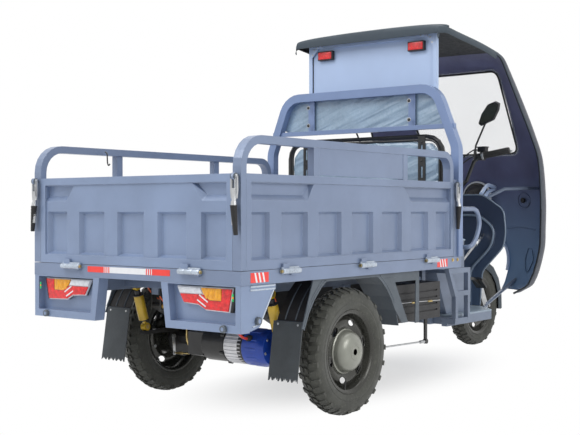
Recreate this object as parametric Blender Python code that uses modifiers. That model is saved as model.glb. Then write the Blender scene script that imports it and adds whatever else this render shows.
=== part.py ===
"""Electric cargo tricycle with a tipping-side cargo bed, a half cab and a single front wheel.

Everything is modelled level, in metres: +X the vehicle's right, +Y forward, +Z up, y = 0 the rear face of
the bed and z = 0 the ground under the rear wheels. The whole model then turns nose down about the rear
axle, onto its smaller front wheel, and moves so that the origin is the bottom centre of its bounding box.
"""

import math

import bmesh
import bpy
from mathutils import Matrix, Vector

# Clearances
SEAT_GAP = 0.0003
PIN_GAP = 0.0008
PIN_SIDES = 8
JOIN_STEP = 0.0006

# Cargo bed
BED_WIDTH = 1.130
BED_LENGTH = 1.601
BED_TOP = 0.6252
BEAM_HEIGHT = 0.051
BEAM_WIDTH = 0.040
FLOOR_THICKNESS = 0.003
BOARD_THICKNESS = 0.034
BOARD_BOTTOM = 0.627
BOARD_TOP = 0.973
BOARD_INSET = 0.006
BAR_TOP = 0.029
BAR_BOTTOM = 0.034
BAR_SIDE = 0.028
POCKET_DEPTH = 0.018
POCKET_DRAFT = 0.010
POCKET_BOTTOM = 0.663
POCKET_TOP = 0.836
LEDGE_BOTTOM = 0.877
LEDGE_TOP = 0.899
CORNER_TOP = 0.941

HOOP_WIDTH = 0.040
BOARD_GAP = 0.001
TAILGATE_HALF = BED_WIDTH / 2 - HOOP_WIDTH - BOARD_GAP
POCKET_SHARES = [(-0.931, -0.702), (-0.563, -0.279), (-0.139, 0.139), (0.279, 0.563), (0.702, 0.931)]
TAILGATE_POCKETS = [(low * TAILGATE_HALF, high * TAILGATE_HALF) for low, high in POCKET_SHARES]
TAILGATE_TRAPEZOID = (0.714 * TAILGATE_HALF, 0.622 * TAILGATE_HALF)
POST_WIDTH = 0.030
SIDE_BOARD_FRONT = 1.530
SIDE_POCKETS = [
    (0.058, 0.168),
    (0.237, 0.401),
    (0.469, 0.626),
    (0.699, 0.856),
    (0.923, 1.082),
    (1.155, 1.307),
    (1.373, 1.495),
]
SIDE_TRAPEZOID = (0.396, 0.438, 1.099, 1.161)
CORNER_POST_Y = (1.5335, 1.5585)
CORNER_POST_TOP = 0.985
FRONT_BOARD_Y = (1.5275, 1.5575)

# Hinges of the boards
HINGE_RADIUS = 0.010
HINGE_PIN_RADIUS = 0.006
HINGE_LENGTH = 0.107
HINGE_Z = 0.617
HINGE_OUT = HINGE_RADIUS + 0.0006
REAR_HINGES = (-0.621 * TAILGATE_HALF, 0.621 * TAILGATE_HALF)
SIDE_HINGES = (0.273, 0.790, 1.314)

# Hoop rails on the side boards
HOOP_BAR = 0.030
HOOP_TOP = 1.113
HOOP_REAR_RADIUS = 0.100
HOOP_FRONT_RADIUS = 0.150
HOOP_POSTS = ((0.434, 0.469), (1.087, 1.122))
SIGN_PLATE_Z = (0.977, 1.086)
SIGN_PLATE_THICKNESS = 0.003

# Latches
LATCH_Z = 0.962
LATCH_OUT = 0.0145
LATCH_EAR_RADIUS = 0.0135
LATCH_EAR_WIDTH = 0.0110
LATCH_PIN_RADIUS = 0.0035
LATCH_CHEEK = 0.0040
LATCH_LENGTH = 0.172
LATCH_GRIP_LENGTH = 0.075

# Lamp boxes and aprons under the bed's rear
APRON_OUTER = 0.563
APRON_BOTTOM = 0.404
APRON_TOP = BED_TOP - BEAM_HEIGHT - SEAT_GAP
APRON_DEPTH = 0.050
APRON_INNER_TOP = 0.170
APRON_INNER_BOTTOM = 0.195
RECESS_DEPTH = 0.035
RECESS_INNER_TOP = 0.205
RECESS_INNER_BOTTOM = 0.220
RECESS_OUTER = 0.538
APRON_LIP = 0.029
APRON_PLATE = 0.004
APRON_SIDE = [
    (0.001, 0.405),
    (0.060, 0.410),
    (0.106, 0.421),
    (0.197, 0.562),
    (0.197, APRON_TOP - 0.001),
    (0.001, APRON_TOP - 0.001),
]
LAMP_FACE_Y = 0.014
LAMP_OUTLINE = [
    (0.235, 0.563),
    (0.516, 0.563),
    (0.497, 0.474),
    (0.380, 0.477),
    (0.345, 0.497),
    (0.272, 0.498),
]
SENSOR_RADIUS = 0.013
SENSOR_OUT = 0.012
SENSOR_X = 0.485
SENSOR_Z = 0.418
SIDE_SENSOR = (0.091, 0.444)

# Chassis
RAIL_X = 0.300
RAIL_WIDTH = 0.040
RAIL_TOP = BED_TOP - BEAM_HEIGHT - SEAT_GAP
RAIL_HEIGHT = 0.062
RAIL_REAR = 0.060
RAIL_BEND_Y = 1.640
LOW_RAIL_TOP = 0.3175
LOW_RAIL_HEIGHT = 0.042
LOW_RAIL_X = 0.420
LOW_RAIL_Y = (1.700, 2.170)
CROSS_MEMBERS = (0.27, 1.05, 1.52)
MEMBER_LIFT = 0.012
SHOCK_MEMBER_Y = 0.400
NECK_Y = 2.336
STEP_X = 0.470
STEP_TOP_Z = 0.548
STEP_LOW_Z = 0.436
STEP_Y = (1.630, 1.850)
STEP_BAR = 0.024

BATTERY_HALF = 0.515
BATTERY_Y = (1.100, 1.490)
BATTERY_BOTTOM = 0.345

# Running gear
REAR_AXLE = (0.727, 0.2643)
REAR_RADIUS = 0.2643
HALF_TRACK = 0.496
FRONT_AXLE = (2.793, 0.282)
FRONT_RADIUS = 0.240
REAR_TYRE_HALF = 0.050
FRONT_TYRE_HALF = 0.045
RIM_RADIUS = 0.168
RIM_SEAT = 0.1615
BEAD_SHARE = 0.72
WHEEL_STEPS = 20
AXLE_TUBE_RADIUS = 0.040
HOLE_RING = 0.118
HOLE_COUNT = 6
DRUM_RADIUS = 0.092
DRUM_INNER = 0.085
LEAF_X = 0.300
LEAF_WIDTH = 0.050
LEAF_EYE_Z = 0.425
LEAF_HALF = 0.268
LEAF_THICKNESS = 0.014
LEAF_COUNT = 2
GEARBOX_FACE = -0.0005
MOTOR_Y = 0.475
MOTOR_Z = 0.287
MOTOR_RADIUS = 0.070
MOTOR_BODY_X = (GEARBOX_FACE + SEAT_GAP, 0.190)
MOTOR_CAP_X = 0.330
SHOCK_X = 0.375
SHOCK_EYE = 0.018
SHOCK_TOP = (0.400, 0.512)
SHOCK_BOTTOM = (0.455, 0.330)

# Wheel arches
ARCH_RADIUS = 0.351
LINER_RADIUS = 0.359
LINER_X = (0.410, 0.5455)
FENDER_X = (0.5445, 0.5490)
MUD_FLAP_X = (0.402, 0.5441)
MUD_FLAP_THICKNESS = 0.004

# Steering: the head's axis leans back by the rake and meets the wheel's centre plane
RAKE = math.radians(30)
FORK_OFFSET = 0.047
HEAD_SPAN = (0.545, 0.705)
HEAD_RADIUS = 0.030
STEERER_RADIUS = 0.0145
CROWN_SPAN = (HEAD_SPAN[0] - 0.045, HEAD_SPAN[0] - 0.010)
STEERER_TOP = 0.860
LEG_X = 0.078
STANCHION_RADIUS = 0.0125
STANCHION_END = 0.250
SLIDER_RADIUS = 0.018
SLIDER_TOP = 0.360
FORK_TRAVEL = 0.060
AXLE_ROD_RADIUS = 0.008
GUARD_RADIUS = 0.262
GUARD_HALF = 0.056
GUARD_SWEEP = (-8, 160)

# Handlebar
BAR_RADIUS = 0.011
BAR_INNER = (0.120, 2.300, 1.000)
BAR_LOW = (0.280, 2.160, 0.966)
BAR_KNEE = (0.352, 2.150, 1.120)
BAR_END = (0.525, 2.185, 1.152)
GRIP_RADIUS = 0.0165
GRIP_START = 0.26
LEVER_AHEAD = 0.050
MIRROR_BASE = (0.350, 2.150)
MIRROR_BOSS = 0.028
MIRROR_CENTRE = (0.430, 2.150, 1.343)

# Cab
GUARD_TUBE = 0.042
GUARD_Y = (1.560, 1.600)
GUARD_LEG_X = 0.554
GUARD_SHOULDER = (0.554, 1.140)
GUARD_CORNER = (0.442, 1.4255)
GUARD_TOP_Z = 1.4255
CROSS_BAR_Z = (1.230, 1.252)
STRAP_X = 0.303
STRAP_WIDTH = 0.038
BACK_TUBE_X = 0.462
BACK_TUBE_TOP = 1.200
BACK_TUBE_RADIUS = 0.011
BACK_TUBE_Y = 1.615
BACK_STRIP_X = 0.348
PARTITION_Y = (1.680, 1.700)
PARTITION_HALF = 0.387
PARTITION_TOP = 1.712
PARTITION_BOTTOM = 1.405
PARTITION_BAR = 0.020
SEAT_BOX_X = 0.380
UPPER_PAD = (0.486, 1.256, 1.410)
SEAT_PAD_LOW = 0.815
CUSHION_FALL = 0.16
CUSHION_DRAW = 0.020
SEAT_BOX_Y = (1.675, 1.975)
SEAT_BOX_SLOPE = (0.117, 0.245)
SEAT_BOX_TOP = 0.685
SHEET = 0.004
CUSHION_X = 0.400
CUSHION_Y = (1.690, 2.005)
CUSHION_TOP = 0.800
SEAT_HINGE_Y = 1.985
FLOOR_Z = 0.3265
FLOOR_REAR = 1.764
FLOOR_FRONT = 2.296
SHIELD_Y = 2.300
SHIELD_OUTLINE = [
    (0.0, 0.925),
    (0.318, 0.925),
    (0.439, 0.844),
    (0.451, 0.729),
    (0.439, 0.647),
    (0.313, 0.513),
    (0.301, 0.3275),
]
PEDAL_X = 0.372
PEDAL_PIVOT = (2.008, 0.500)
PEDAL_PAD = (2.161, 0.459)
PARK_X = 0.327
PARK_PIVOT = (1.998, 0.546)
PARK_TIP = (2.285, 0.711)
BRACKET_X = (0.345, 0.353)
CRANK_X = 0.400
CRANK_PIVOT = (1.560, 0.395)
CRANK_END = (1.560, 0.215)
CRANK_BOSS = 0.012
ROD_END = (0.835, 0.232)

# Fairing: stations from the bottom up as rear edge (x, y, z) and centre line (y, z)
FAIRING_WALL = 0.004
FAIRING_POWER = 2.4
FAIRING_COLUMNS = 7
FAIRING_STATIONS = [
    (0.440, 2.430, 0.392, 2.760, 0.392),
    (0.492, 2.505, 0.440, 2.790, 0.440),
    (0.520, 2.580, 0.620, 2.860, 0.620),
    (0.520, 2.595, 0.740, 2.880, 0.740),
    (0.520, 2.600, 0.900, 2.880, 0.900),
    (0.518, 2.570, 1.120, 2.825, 1.120),
    (0.510, 2.490, 1.250, 2.755, 1.250),
    (0.490, 2.405, 1.390, 2.675, 1.390),
    (0.450, 2.300, 1.600, 2.500, 1.612),
    (0.447, 2.255, 1.645, 2.430, 1.665),
    (0.445, 2.200, 1.662, 2.340, 1.700),
]
WINDOW_OUTLINE = [(0.300, 1.170), (0.322, 1.606)]
WINDOW_CORNER = 0.045
WINDOW_LAP = 0.014
ARCH_HALF = 0.222
ARCH_TOP = 0.672
LAMP_CENTRE_Z = 0.920
LAMP_BORE = 0.079

# Roof: stations from the front back as rear-edge (x, y, z) and centre line (y, z), like the fairing's
ROOF_WALL = 0.006
ROOF_RIM = 0.040
ROOF_GAP = 0.0018
ROOF_STATIONS = [
    (0.445, 2.045, 1.690, 2.085, 1.722),
    (0.448, 1.780, 1.716, 1.782, 1.745),
    (0.446, 1.670, 1.728, 1.670, 1.752),
    (0.430, 1.632, 1.726, 1.632, 1.748),
]


def clear_scene():
    for leftover in list(bpy.data.objects):
        bpy.data.objects.remove(leftover, do_unlink=True)


def added_collection(name):
    collection = bpy.data.collections.new(name)
    bpy.context.scene.collection.children.link(collection)
    return collection


clear_scene()
PARTS = added_collection("electric_cargo_tricycle")


# Solids from which the parts are joined and cut


def as_object(data, name="piece"):
    """An object from a bmesh whose faces are made to point out."""
    bmesh.ops.recalc_face_normals(data, faces=data.faces)
    mesh = bpy.data.meshes.new(name)
    data.to_mesh(mesh)
    data.free()
    made = bpy.data.objects.new(name, mesh)
    PARTS.objects.link(made)
    return made


def evaluated_mesh(thing):
    bpy.context.view_layer.update()
    graph = bpy.context.evaluated_depsgraph_get()
    return bpy.data.meshes.new_from_object(thing.evaluated_get(graph), depsgraph=graph)


def settled(thing, name="piece"):
    """The object's evaluated shape, welded, as a plain mesh object in its place."""
    mesh = evaluated_mesh(thing)
    data = bmesh.new()
    data.from_mesh(mesh)
    data.transform(thing.matrix_world)
    bmesh.ops.remove_doubles(data, verts=data.verts, dist=1e-6)
    bpy.data.meshes.remove(mesh)
    bpy.data.objects.remove(thing, do_unlink=True)
    return as_object(data, name)


def box(x, y, z):
    """A box between a low and a high limit on each axis."""
    data = bmesh.new()
    bmesh.ops.create_cube(data, size=2.0)
    for vertex in data.verts:
        for axis, (low, high) in enumerate((x, y, z)):
            vertex.co[axis] = high if vertex.co[axis] > 0 else low
    return as_object(data)


def rod(start, end, radius, sides=10, end_radius=None):
    """A round bar, or a cone, between two points."""
    start, end = Vector(start), Vector(end)
    along = end - start
    data = bmesh.new()
    bmesh.ops.create_cone(
        data,
        cap_ends=True,
        segments=sides,
        radius1=radius,
        radius2=radius if end_radius is None else end_radius,
        depth=along.length,
    )
    turn = Vector((0, 0, 1)).rotation_difference(along.normalized()).to_matrix().to_4x4()
    data.transform(Matrix.Translation((start + end) / 2) @ turn)
    return as_object(data)


def flat_radius(radius, sides):
    """How far a round bar's flats lie from its axis."""
    return radius * math.cos(math.pi / sides)


def flat_bar(start, end, width, thickness, across):
    """A rectangular bar between two points: its width lies along the direction named across."""
    start, end, across = Vector(start), Vector(end), Vector(across).normalized()
    along = (end - start).normalized()
    across = (across - along * across.dot(along)).normalized()
    normal = along.cross(across)
    data = bmesh.new()
    bmesh.ops.create_cube(data, size=1.0)
    turn = Matrix((across * width, normal * thickness, end - start)).transposed().to_4x4()
    data.transform(Matrix.Translation((start + end) / 2) @ turn)
    return as_object(data)


AXIS_FRAMES = {
    "X": Matrix(((0, 0, 1, 0), (1, 0, 0, 0), (0, 1, 0, 0), (0, 0, 0, 1))),
    "Y": Matrix(((1, 0, 0, 0), (0, 0, -1, 0), (0, 1, 0, 0), (0, 0, 0, 1))),
    "Z": Matrix.Identity(4),
}


def prism(outline, low, high, axis):
    """A flat outline given in the two other axes, extruded from low to high along this one."""
    curve = bpy.data.curves.new("outline", "CURVE")
    curve.dimensions = "2D"
    curve.fill_mode = "BOTH"
    curve.extrude = (high - low) / 2
    spline = curve.splines.new("POLY")
    spline.points.add(len(outline) - 1)
    for point, (first, second) in zip(spline.points, outline):
        point.co = (first, second, 0, 1)
    spline.use_cyclic_u = True
    made = bpy.data.objects.new("outline", curve)
    PARTS.objects.link(made)
    middle = (low + high) / 2
    made.matrix_world = AXIS_FRAMES[axis] @ Matrix.Translation((0, 0, -middle if axis == "Y" else middle))
    return settled(made)


def loft(first, second, low, high, axis):
    """A solid between two outlines with as many points each, at low and at high on this axis."""
    data = bmesh.new()
    rings = []
    for outline, level in ((first, low), (second, high)):
        ring = [data.verts.new(spot(point, level, axis)) for point in outline]
        rings.append(ring)
    count = len(first)
    data.faces.new(rings[0])
    data.faces.new(rings[1])
    for i in range(count):
        j = (i + 1) % count
        data.faces.new((rings[0][i], rings[0][j], rings[1][j], rings[1][i]))
    return as_object(data)


def spot(point, level, axis):
    first, second = point
    return {"X": (level, first, second), "Y": (first, level, second), "Z": (first, second, level)}[axis]


def rounded(points, radius, steps=3):
    """The points with each inner corner made an arc of this radius."""
    points = [Vector(point) for point in points]
    path = [points[0]]
    for before, corner, after in zip(points, points[1:], points[2:]):
        arrive = (before - corner).normalized()
        leave = (after - corner).normalized()
        half = arrive.angle(leave) / 2
        reach = min(radius / math.tan(half), 0.49 * (before - corner).length, 0.49 * (after - corner).length)
        bisector = (arrive + leave).normalized()
        centre = corner + bisector * (reach / math.cos(half))
        start = corner + arrive * reach - centre
        end = corner + leave * reach - centre
        swing = start.angle(end)
        for step in range(steps + 1):
            share = step / steps
            weight = math.sin((1 - share) * swing) * start + math.sin(share * swing) * end
            path.append(centre + weight / math.sin(swing))
    path.append(points[-1])
    return path


def tube(points, radius, resolution=2, closed=False):
    """A round tube along the points."""
    curve = bpy.data.curves.new("tube", "CURVE")
    curve.dimensions = "3D"
    curve.bevel_depth = radius
    curve.bevel_resolution = resolution
    curve.use_fill_caps = True
    spline = curve.splines.new("POLY")
    spline.points.add(len(points) - 1)
    for point, place in zip(spline.points, points):
        point.co = (*place, 1)
    spline.use_cyclic_u = closed
    made = bpy.data.objects.new("tube", curve)
    PARTS.objects.link(made)
    return settled(made)


def bent_bar(path, height, low, high, axis):
    """A rectangular bar bent in a plane: its height lies in the plane, and low to high across it."""
    path = [Vector(point) for point in path]
    left, right = [], []
    for i, point in enumerate(path):
        before = (point - path[i - 1]).normalized() if i else None
        after = (path[i + 1] - point).normalized() if i + 1 < len(path) else None
        along = ((before or after) + (after or before)).normalized()
        stretch = 1 / max(0.3, along.dot(before or after))
        side = Vector((-along.y, along.x)) * (height / 2 * stretch)
        left.append(point + side)
        right.append(point - side)
    return prism([tuple(point) for point in left + right[::-1]], low, high, axis)


def turned(profile, centre, axis="X", steps=WHEEL_STEPS, phase=0.0):
    """A solid of revolution from a closed profile of (radius, distance along the axis)."""
    data = bmesh.new()
    points = [data.verts.new((radius, 0, along)) for radius, along in profile]
    for first, second in zip(points, points[1:]):
        data.edges.new((first, second))
    if profile[0][0] > 0:
        data.edges.new((points[-1], points[0]))
    mesh = bpy.data.meshes.new("profile")
    data.to_mesh(mesh)
    data.free()
    made = bpy.data.objects.new("profile", mesh)
    PARTS.objects.link(made)
    screw = made.modifiers.new("turn", "SCREW")
    screw.steps = steps
    screw.render_steps = steps
    screw.use_merge_vertices = True
    screw.merge_threshold = 1e-5
    turn = Matrix.Rotation(math.pi / 2, 4, "Y") if axis == "X" else Matrix.Rotation(-math.pi / 2, 4, "X")
    made.matrix_world = Matrix.Translation(centre) @ Matrix.Rotation(phase, 4, axis) @ turn
    return settled(made)


def shell(rows, wall, offset=-1.0):
    """A sheet through rows of points, with a wall on one side of it."""
    data = bmesh.new()
    grid = [[data.verts.new(point) for point in row] for row in rows]
    for lower, upper in zip(grid, grid[1:]):
        for i in range(len(lower) - 1):
            data.faces.new((lower[i], lower[i + 1], upper[i + 1], upper[i]))
    bmesh.ops.triangulate(data, faces=data.faces, quad_method="FIXED")
    mesh = bpy.data.meshes.new("sheet")
    data.to_mesh(mesh)
    data.free()
    made = bpy.data.objects.new("sheet", mesh)
    PARTS.objects.link(made)
    solid = made.modifiers.new("wall", "SOLIDIFY")
    solid.thickness = wall
    solid.offset = offset
    return settled(made)


def combined(base, others, operation):
    """One EXACT Boolean of the base with the others, which are used up."""
    operands = bpy.data.collections.new("operands")
    for other in others:
        operands.objects.link(other)
    step = base.modifiers.new(operation.lower(), "BOOLEAN")
    step.operation = operation
    step.solver = "EXACT"
    step.operand_type = "COLLECTION"
    step.collection = operands
    result = settled(base)
    for other in others:
        bpy.data.objects.remove(other, do_unlink=True)
    bpy.data.collections.remove(operands)
    return result


def part(name, pieces, cuts=()):
    """The named part: its pieces joined, less the cuts."""
    made = pieces[0]
    if len(pieces) > 1:
        made = combined(made, pieces[1:], "UNION")
    if cuts:
        made = combined(made, list(cuts), "DIFFERENCE")
    made.name = name
    made.data.name = name
    return made


def moved(thing, matrix):
    """The object with its mesh carried by the matrix, and turned right side out if that mirrors it."""
    thing.data.transform(matrix)
    if matrix.determinant() < 0:
        thing.data.flip_normals()
    return thing


MIRROR_X = Matrix.Scale(-1, 4, (1, 0, 0))


def left_copy(thing, name):
    """A separate part that mirrors a right-hand one."""
    mesh = thing.data.copy()
    made = bpy.data.objects.new(name, mesh)
    mesh.name = name
    PARTS.objects.link(made)
    return moved(made, MIRROR_X)


def finished(thing, colour, roughness, metallic=0.0, round_angle=None):
    """The part with its own material, and with rounded faces shaded smooth."""
    material = bpy.data.materials.new(thing.name)
    material.use_nodes = True
    shader = material.node_tree.nodes["Principled BSDF"]
    shader.inputs["Base Color"].default_value = (*colour, 1)
    shader.inputs["Roughness"].default_value = roughness
    shader.inputs["Metallic"].default_value = metallic
    material.diffuse_color = (*colour, 1)
    thing.data.materials.clear()
    thing.data.materials.append(material)
    if round_angle:
        thing.data.shade_smooth()
        thing.data.set_sharp_from_angle(angle=math.radians(round_angle))
    return thing


PAINT = ((0.22, 0.27, 0.40), 0.35, 0.3)
PALE_PAINT = ((0.38, 0.45, 0.62), 0.4, 0.2)
DARK_SHELL = ((0.03, 0.035, 0.05), 0.45, 0.0)
BLACK_STEEL = ((0.02, 0.02, 0.02), 0.45, 0.5)
RUBBER = ((0.025, 0.025, 0.022), 0.85, 0.0)
STEEL = ((0.45, 0.46, 0.48), 0.35, 0.9)
FILM = ((0.35, 0.47, 0.55), 0.3, 0.0)
BLUE_CAP = ((0.01, 0.05, 0.35), 0.4, 0.2)
GLASS = ((0.75, 0.85, 0.88), 0.05, 0.0)
YELLOW = ((0.65, 0.42, 0.02), 0.4, 0.1)
RED_LENS = ((0.6, 0.03, 0.03), 0.2, 0.0)
BLACK_PLASTIC = ((0.03, 0.03, 0.03), 0.5, 0.0)


# The boards of the bed, modelled with u along the board, n into it from the outer face, and z up


def tapered_pocket(outline, shrink, start, floor):
    """A cutter whose outline fits at the panel's face and draws in by shrink at its floor."""
    middle_u = sum(point[0] for point in outline) / len(outline)
    middle_z = sum(point[1] for point in outline) / len(outline)
    half_u = max(abs(point[0] - middle_u) for point in outline)
    half_z = max(abs(point[1] - middle_z) for point in outline)
    rate_u = shrink / half_u
    rate_z = shrink / half_z
    run = floor - start

    def sized(depth):
        share = (depth - start) / run
        return [
            (
                middle_u + (u - middle_u) * (1 - rate_u * share),
                middle_z + (z - middle_z) * (1 - rate_z * share),
            )
            for u, z in outline
        ]

    above = start - 0.002
    return loft(sized(above), sized(floor), above, floor, "Y")


def pressed_panel_cuts(low, high, pockets, left_corner, right_corner):
    """What is pressed out of a board between its bars: pockets below and a stepped corner at each end."""
    inner_low = low + BAR_SIDE
    inner_high = high - BAR_SIDE
    cuts = [
        box(
            (inner_low, inner_high),
            (-BOARD_INSET, BOARD_INSET),
            (BOARD_BOTTOM + BAR_BOTTOM, BOARD_TOP - BAR_TOP),
        )
    ]
    for start, end in pockets:
        outline = [(start, POCKET_BOTTOM), (end, POCKET_BOTTOM), (end, POCKET_TOP), (start, POCKET_TOP)]
        cuts.append(tapered_pocket(outline, POCKET_DRAFT, BOARD_INSET, BOARD_INSET + POCKET_DEPTH))
    edges = inner_low + JOIN_STEP, inner_high - JOIN_STEP
    for foot, head, edge in ((*left_corner, edges[0]), (*right_corner, edges[1])):
        outline = [(edge, LEDGE_BOTTOM), (foot, LEDGE_BOTTOM), (head, CORNER_TOP), (edge, CORNER_TOP)]
        lift = LEDGE_TOP - LEDGE_BOTTOM
        draw = POCKET_DRAFT if foot > edge else -POCKET_DRAFT
        inner = [
            (edge, LEDGE_BOTTOM + lift),
            (foot - draw, LEDGE_BOTTOM + lift),
            (head - draw, CORNER_TOP),
            (edge, CORNER_TOP),
        ]
        floor = BOARD_INSET + POCKET_DEPTH
        outer = [
            (a + (a - c) * 0.1, b + (b - d) * 0.1) for (a, b), (c, d) in zip(outline, inner)
        ]
        cuts.append(loft(outer, inner, BOARD_INSET - 0.1 * POCKET_DEPTH, floor, "Y"))
    return cuts


def board_knuckles(centres):
    """The half of each hinge that a board carries, and the bore for its pin."""
    pieces, bores = [], []
    half = HINGE_LENGTH / 2
    for centre in centres:
        low, high = centre - half, centre - PIN_GAP
        pieces.append(rod((low, -HINGE_OUT, HINGE_Z), (high, -HINGE_OUT, HINGE_Z), HINGE_RADIUS, PIN_SIDES))
        leaf = (low + 0.008, high - 0.008)
        lift = BOARD_BOTTOM + 0.003
        pieces.append(box(leaf, (-HINGE_OUT, -0.0015), (HINGE_Z + 0.002, BOARD_BOTTOM + 0.018)))
        foot = (leaf[0] + 0.001, leaf[1] - 0.001)
        pieces.append(box(foot, (-HINGE_OUT / 2, 0.002), (lift, BOARD_BOTTOM + 0.016)))
        bore = HINGE_PIN_RADIUS + PIN_GAP
        ends = (low - 0.01, -HINGE_OUT, HINGE_Z), (high + 0.01, -HINGE_OUT, HINGE_Z)
        bores.append(rod(*ends, bore, PIN_SIDES))
    return pieces, bores


def bed_knuckles(centres):
    """The half of each hinge that the bed's beam carries, with its pin through the board's half."""
    pieces = []
    half = HINGE_LENGTH / 2
    for centre in centres:
        low, high = centre + PIN_GAP, centre + half
        pieces.append(rod((low, -HINGE_OUT, HINGE_Z), (high, -HINGE_OUT, HINGE_Z), HINGE_RADIUS, PIN_SIDES))
        leaf = (low + 0.004, high - 0.008)
        pieces.append(box(leaf, (-HINGE_OUT, 0.003), (HINGE_Z - 0.016, HINGE_Z - 0.002)))
        tip = centre - half - 0.004
        ends = (tip, -HINGE_OUT, HINGE_Z), (high - 0.01, -HINGE_OUT, HINGE_Z)
        pieces.append(rod(*ends, HINGE_PIN_RADIUS, PIN_SIDES))
    return pieces


# From a board's own u, n, z to the right-hand side of the bed
TO_RIGHT_SIDE = Matrix(((0, -1, 0, BED_WIDTH / 2), (1, 0, 0, 0), (0, 0, 1, 0), (0, 0, 0, 1)))


def make_tailgate():
    slab = box((-TAILGATE_HALF, TAILGATE_HALF), (0, BOARD_THICKNESS), (BOARD_BOTTOM, BOARD_TOP))
    foot, head = TAILGATE_TRAPEZOID
    cuts = pressed_panel_cuts(
        -TAILGATE_HALF, TAILGATE_HALF, TAILGATE_POCKETS, (-foot, -head), (foot, head)
    )
    knuckles, bores = board_knuckles(REAR_HINGES)
    return finished(part("tailgate", [slab] + knuckles, cuts + bores), *PAINT)


def hoop_path():
    side = POST_WIDTH / 2
    top = HOOP_TOP - HOOP_BAR / 2
    front = SIDE_BOARD_FRONT - HOOP_BAR / 2 - JOIN_STEP
    foot = BOARD_BOTTOM + JOIN_STEP
    rise = rounded([(side, foot), (side, top), (SIDE_BOARD_FRONT / 2, top)], HOOP_REAR_RADIUS, 6)
    fall = rounded([(SIDE_BOARD_FRONT / 2, top), (front, top), (front, BOARD_TOP - 0.004)], HOOP_FRONT_RADIUS, 6)
    return rise[:-1] + fall[1:]


def make_side_board(name, with_plate):
    """A pressed board with its hoop rail, posts and rear latch ear, in the board's own frame."""
    low = POST_WIDTH - 0.002
    slab = box((low, SIDE_BOARD_FRONT), (0, BOARD_THICKNESS), (BOARD_BOTTOM, BOARD_TOP))
    rear_foot, rear_head, front_head, front_foot = SIDE_TRAPEZOID
    cuts = pressed_panel_cuts(
        low, SIDE_BOARD_FRONT, SIDE_POCKETS, (rear_foot, rear_head), (front_foot, front_head)
    )
    knuckles, bores = board_knuckles(SIDE_HINGES)
    hoop = bent_bar(hoop_path(), HOOP_BAR, JOIN_STEP, HOOP_WIDTH, "Y")
    pieces = [slab, hoop] + knuckles
    for start, end in HOOP_POSTS:
        pieces.append(box((start, end), (0.002, 0.032), (BOARD_TOP - 0.004, HOOP_TOP - HOOP_BAR / 2)))
    if with_plate:
        span = (HOOP_POSTS[0][1] - 0.004, HOOP_POSTS[1][0] + 0.004)
        pieces.append(box(span, (0.004, 0.004 + SIGN_PLATE_THICKNESS), SIGN_PLATE_Z))
    ear_middle = HOOP_WIDTH / 2
    pieces += latch_ear((0, ear_middle, LATCH_Z), (-1, 0, 0), (0, 1, 0))
    board = part(name, pieces, cuts + bores)
    return moved(board, TO_RIGHT_SIDE)


def latch_ear(root, outward, across):
    """The fixed ear and cross pin of a latch, standing out of a post's face at the root."""
    root, outward, across = Vector(root), Vector(outward), Vector(across)
    centre = root + outward * LATCH_OUT
    half = across * (LATCH_EAR_WIDTH / 2)
    reach = across * (LATCH_EAR_WIDTH / 2 + LATCH_CHEEK + 0.003)
    inside = root - outward * 0.003
    return [
        rod(centre - half, centre + half, LATCH_EAR_RADIUS, 8),
        flat_bar(inside, centre, LATCH_EAR_WIDTH - 0.001, 0.020, across),
        rod(centre - reach, centre + reach, LATCH_PIN_RADIUS, 6),
    ]


def make_latch(name, root, outward, across):
    """A hanging toggle: a clevis loop on the ear's pin, its lever and the grip's core."""
    root, outward, across = Vector(root), Vector(outward), Vector(across)
    pin = root + outward * LATCH_OUT
    down = Vector((0, 0, -1))
    offset = LATCH_EAR_WIDTH / 2 + PIN_GAP + LATCH_CHEEK / 2
    pieces = []
    for side in (-1, 1):
        start = pin + across * (offset * side) - down * 0.008
        end = pin + across * (offset * side) + down * 0.058
        pieces.append(flat_bar(start, end, LATCH_CHEEK, 0.013, across))
    bridge = 0.042
    width = LATCH_EAR_WIDTH + 2 * LATCH_CHEEK + 2 * PIN_GAP
    pieces.append(flat_bar(pin + down * bridge, pin + down * 0.062, width, 0.013, across))
    grip_end = LATCH_LENGTH
    grip_start = LATCH_LENGTH - LATCH_GRIP_LENGTH
    lean = outward * 0.004
    neck_start = pin + down * 0.058
    neck_end = pin + down * (grip_start + 0.006) + lean
    pieces.append(flat_bar(neck_start, neck_end, 0.011, 0.009, across))
    pieces.append(rod(pin + down * grip_start + lean, pin + down * grip_end + lean, 0.0095, 8, 0.0075))
    reach = across * (offset + LATCH_CHEEK)
    bore = rod(pin - reach, pin + reach, LATCH_PIN_RADIUS + PIN_GAP, 6)
    return finished(part(name, pieces, [bore]), *STEEL)


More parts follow.
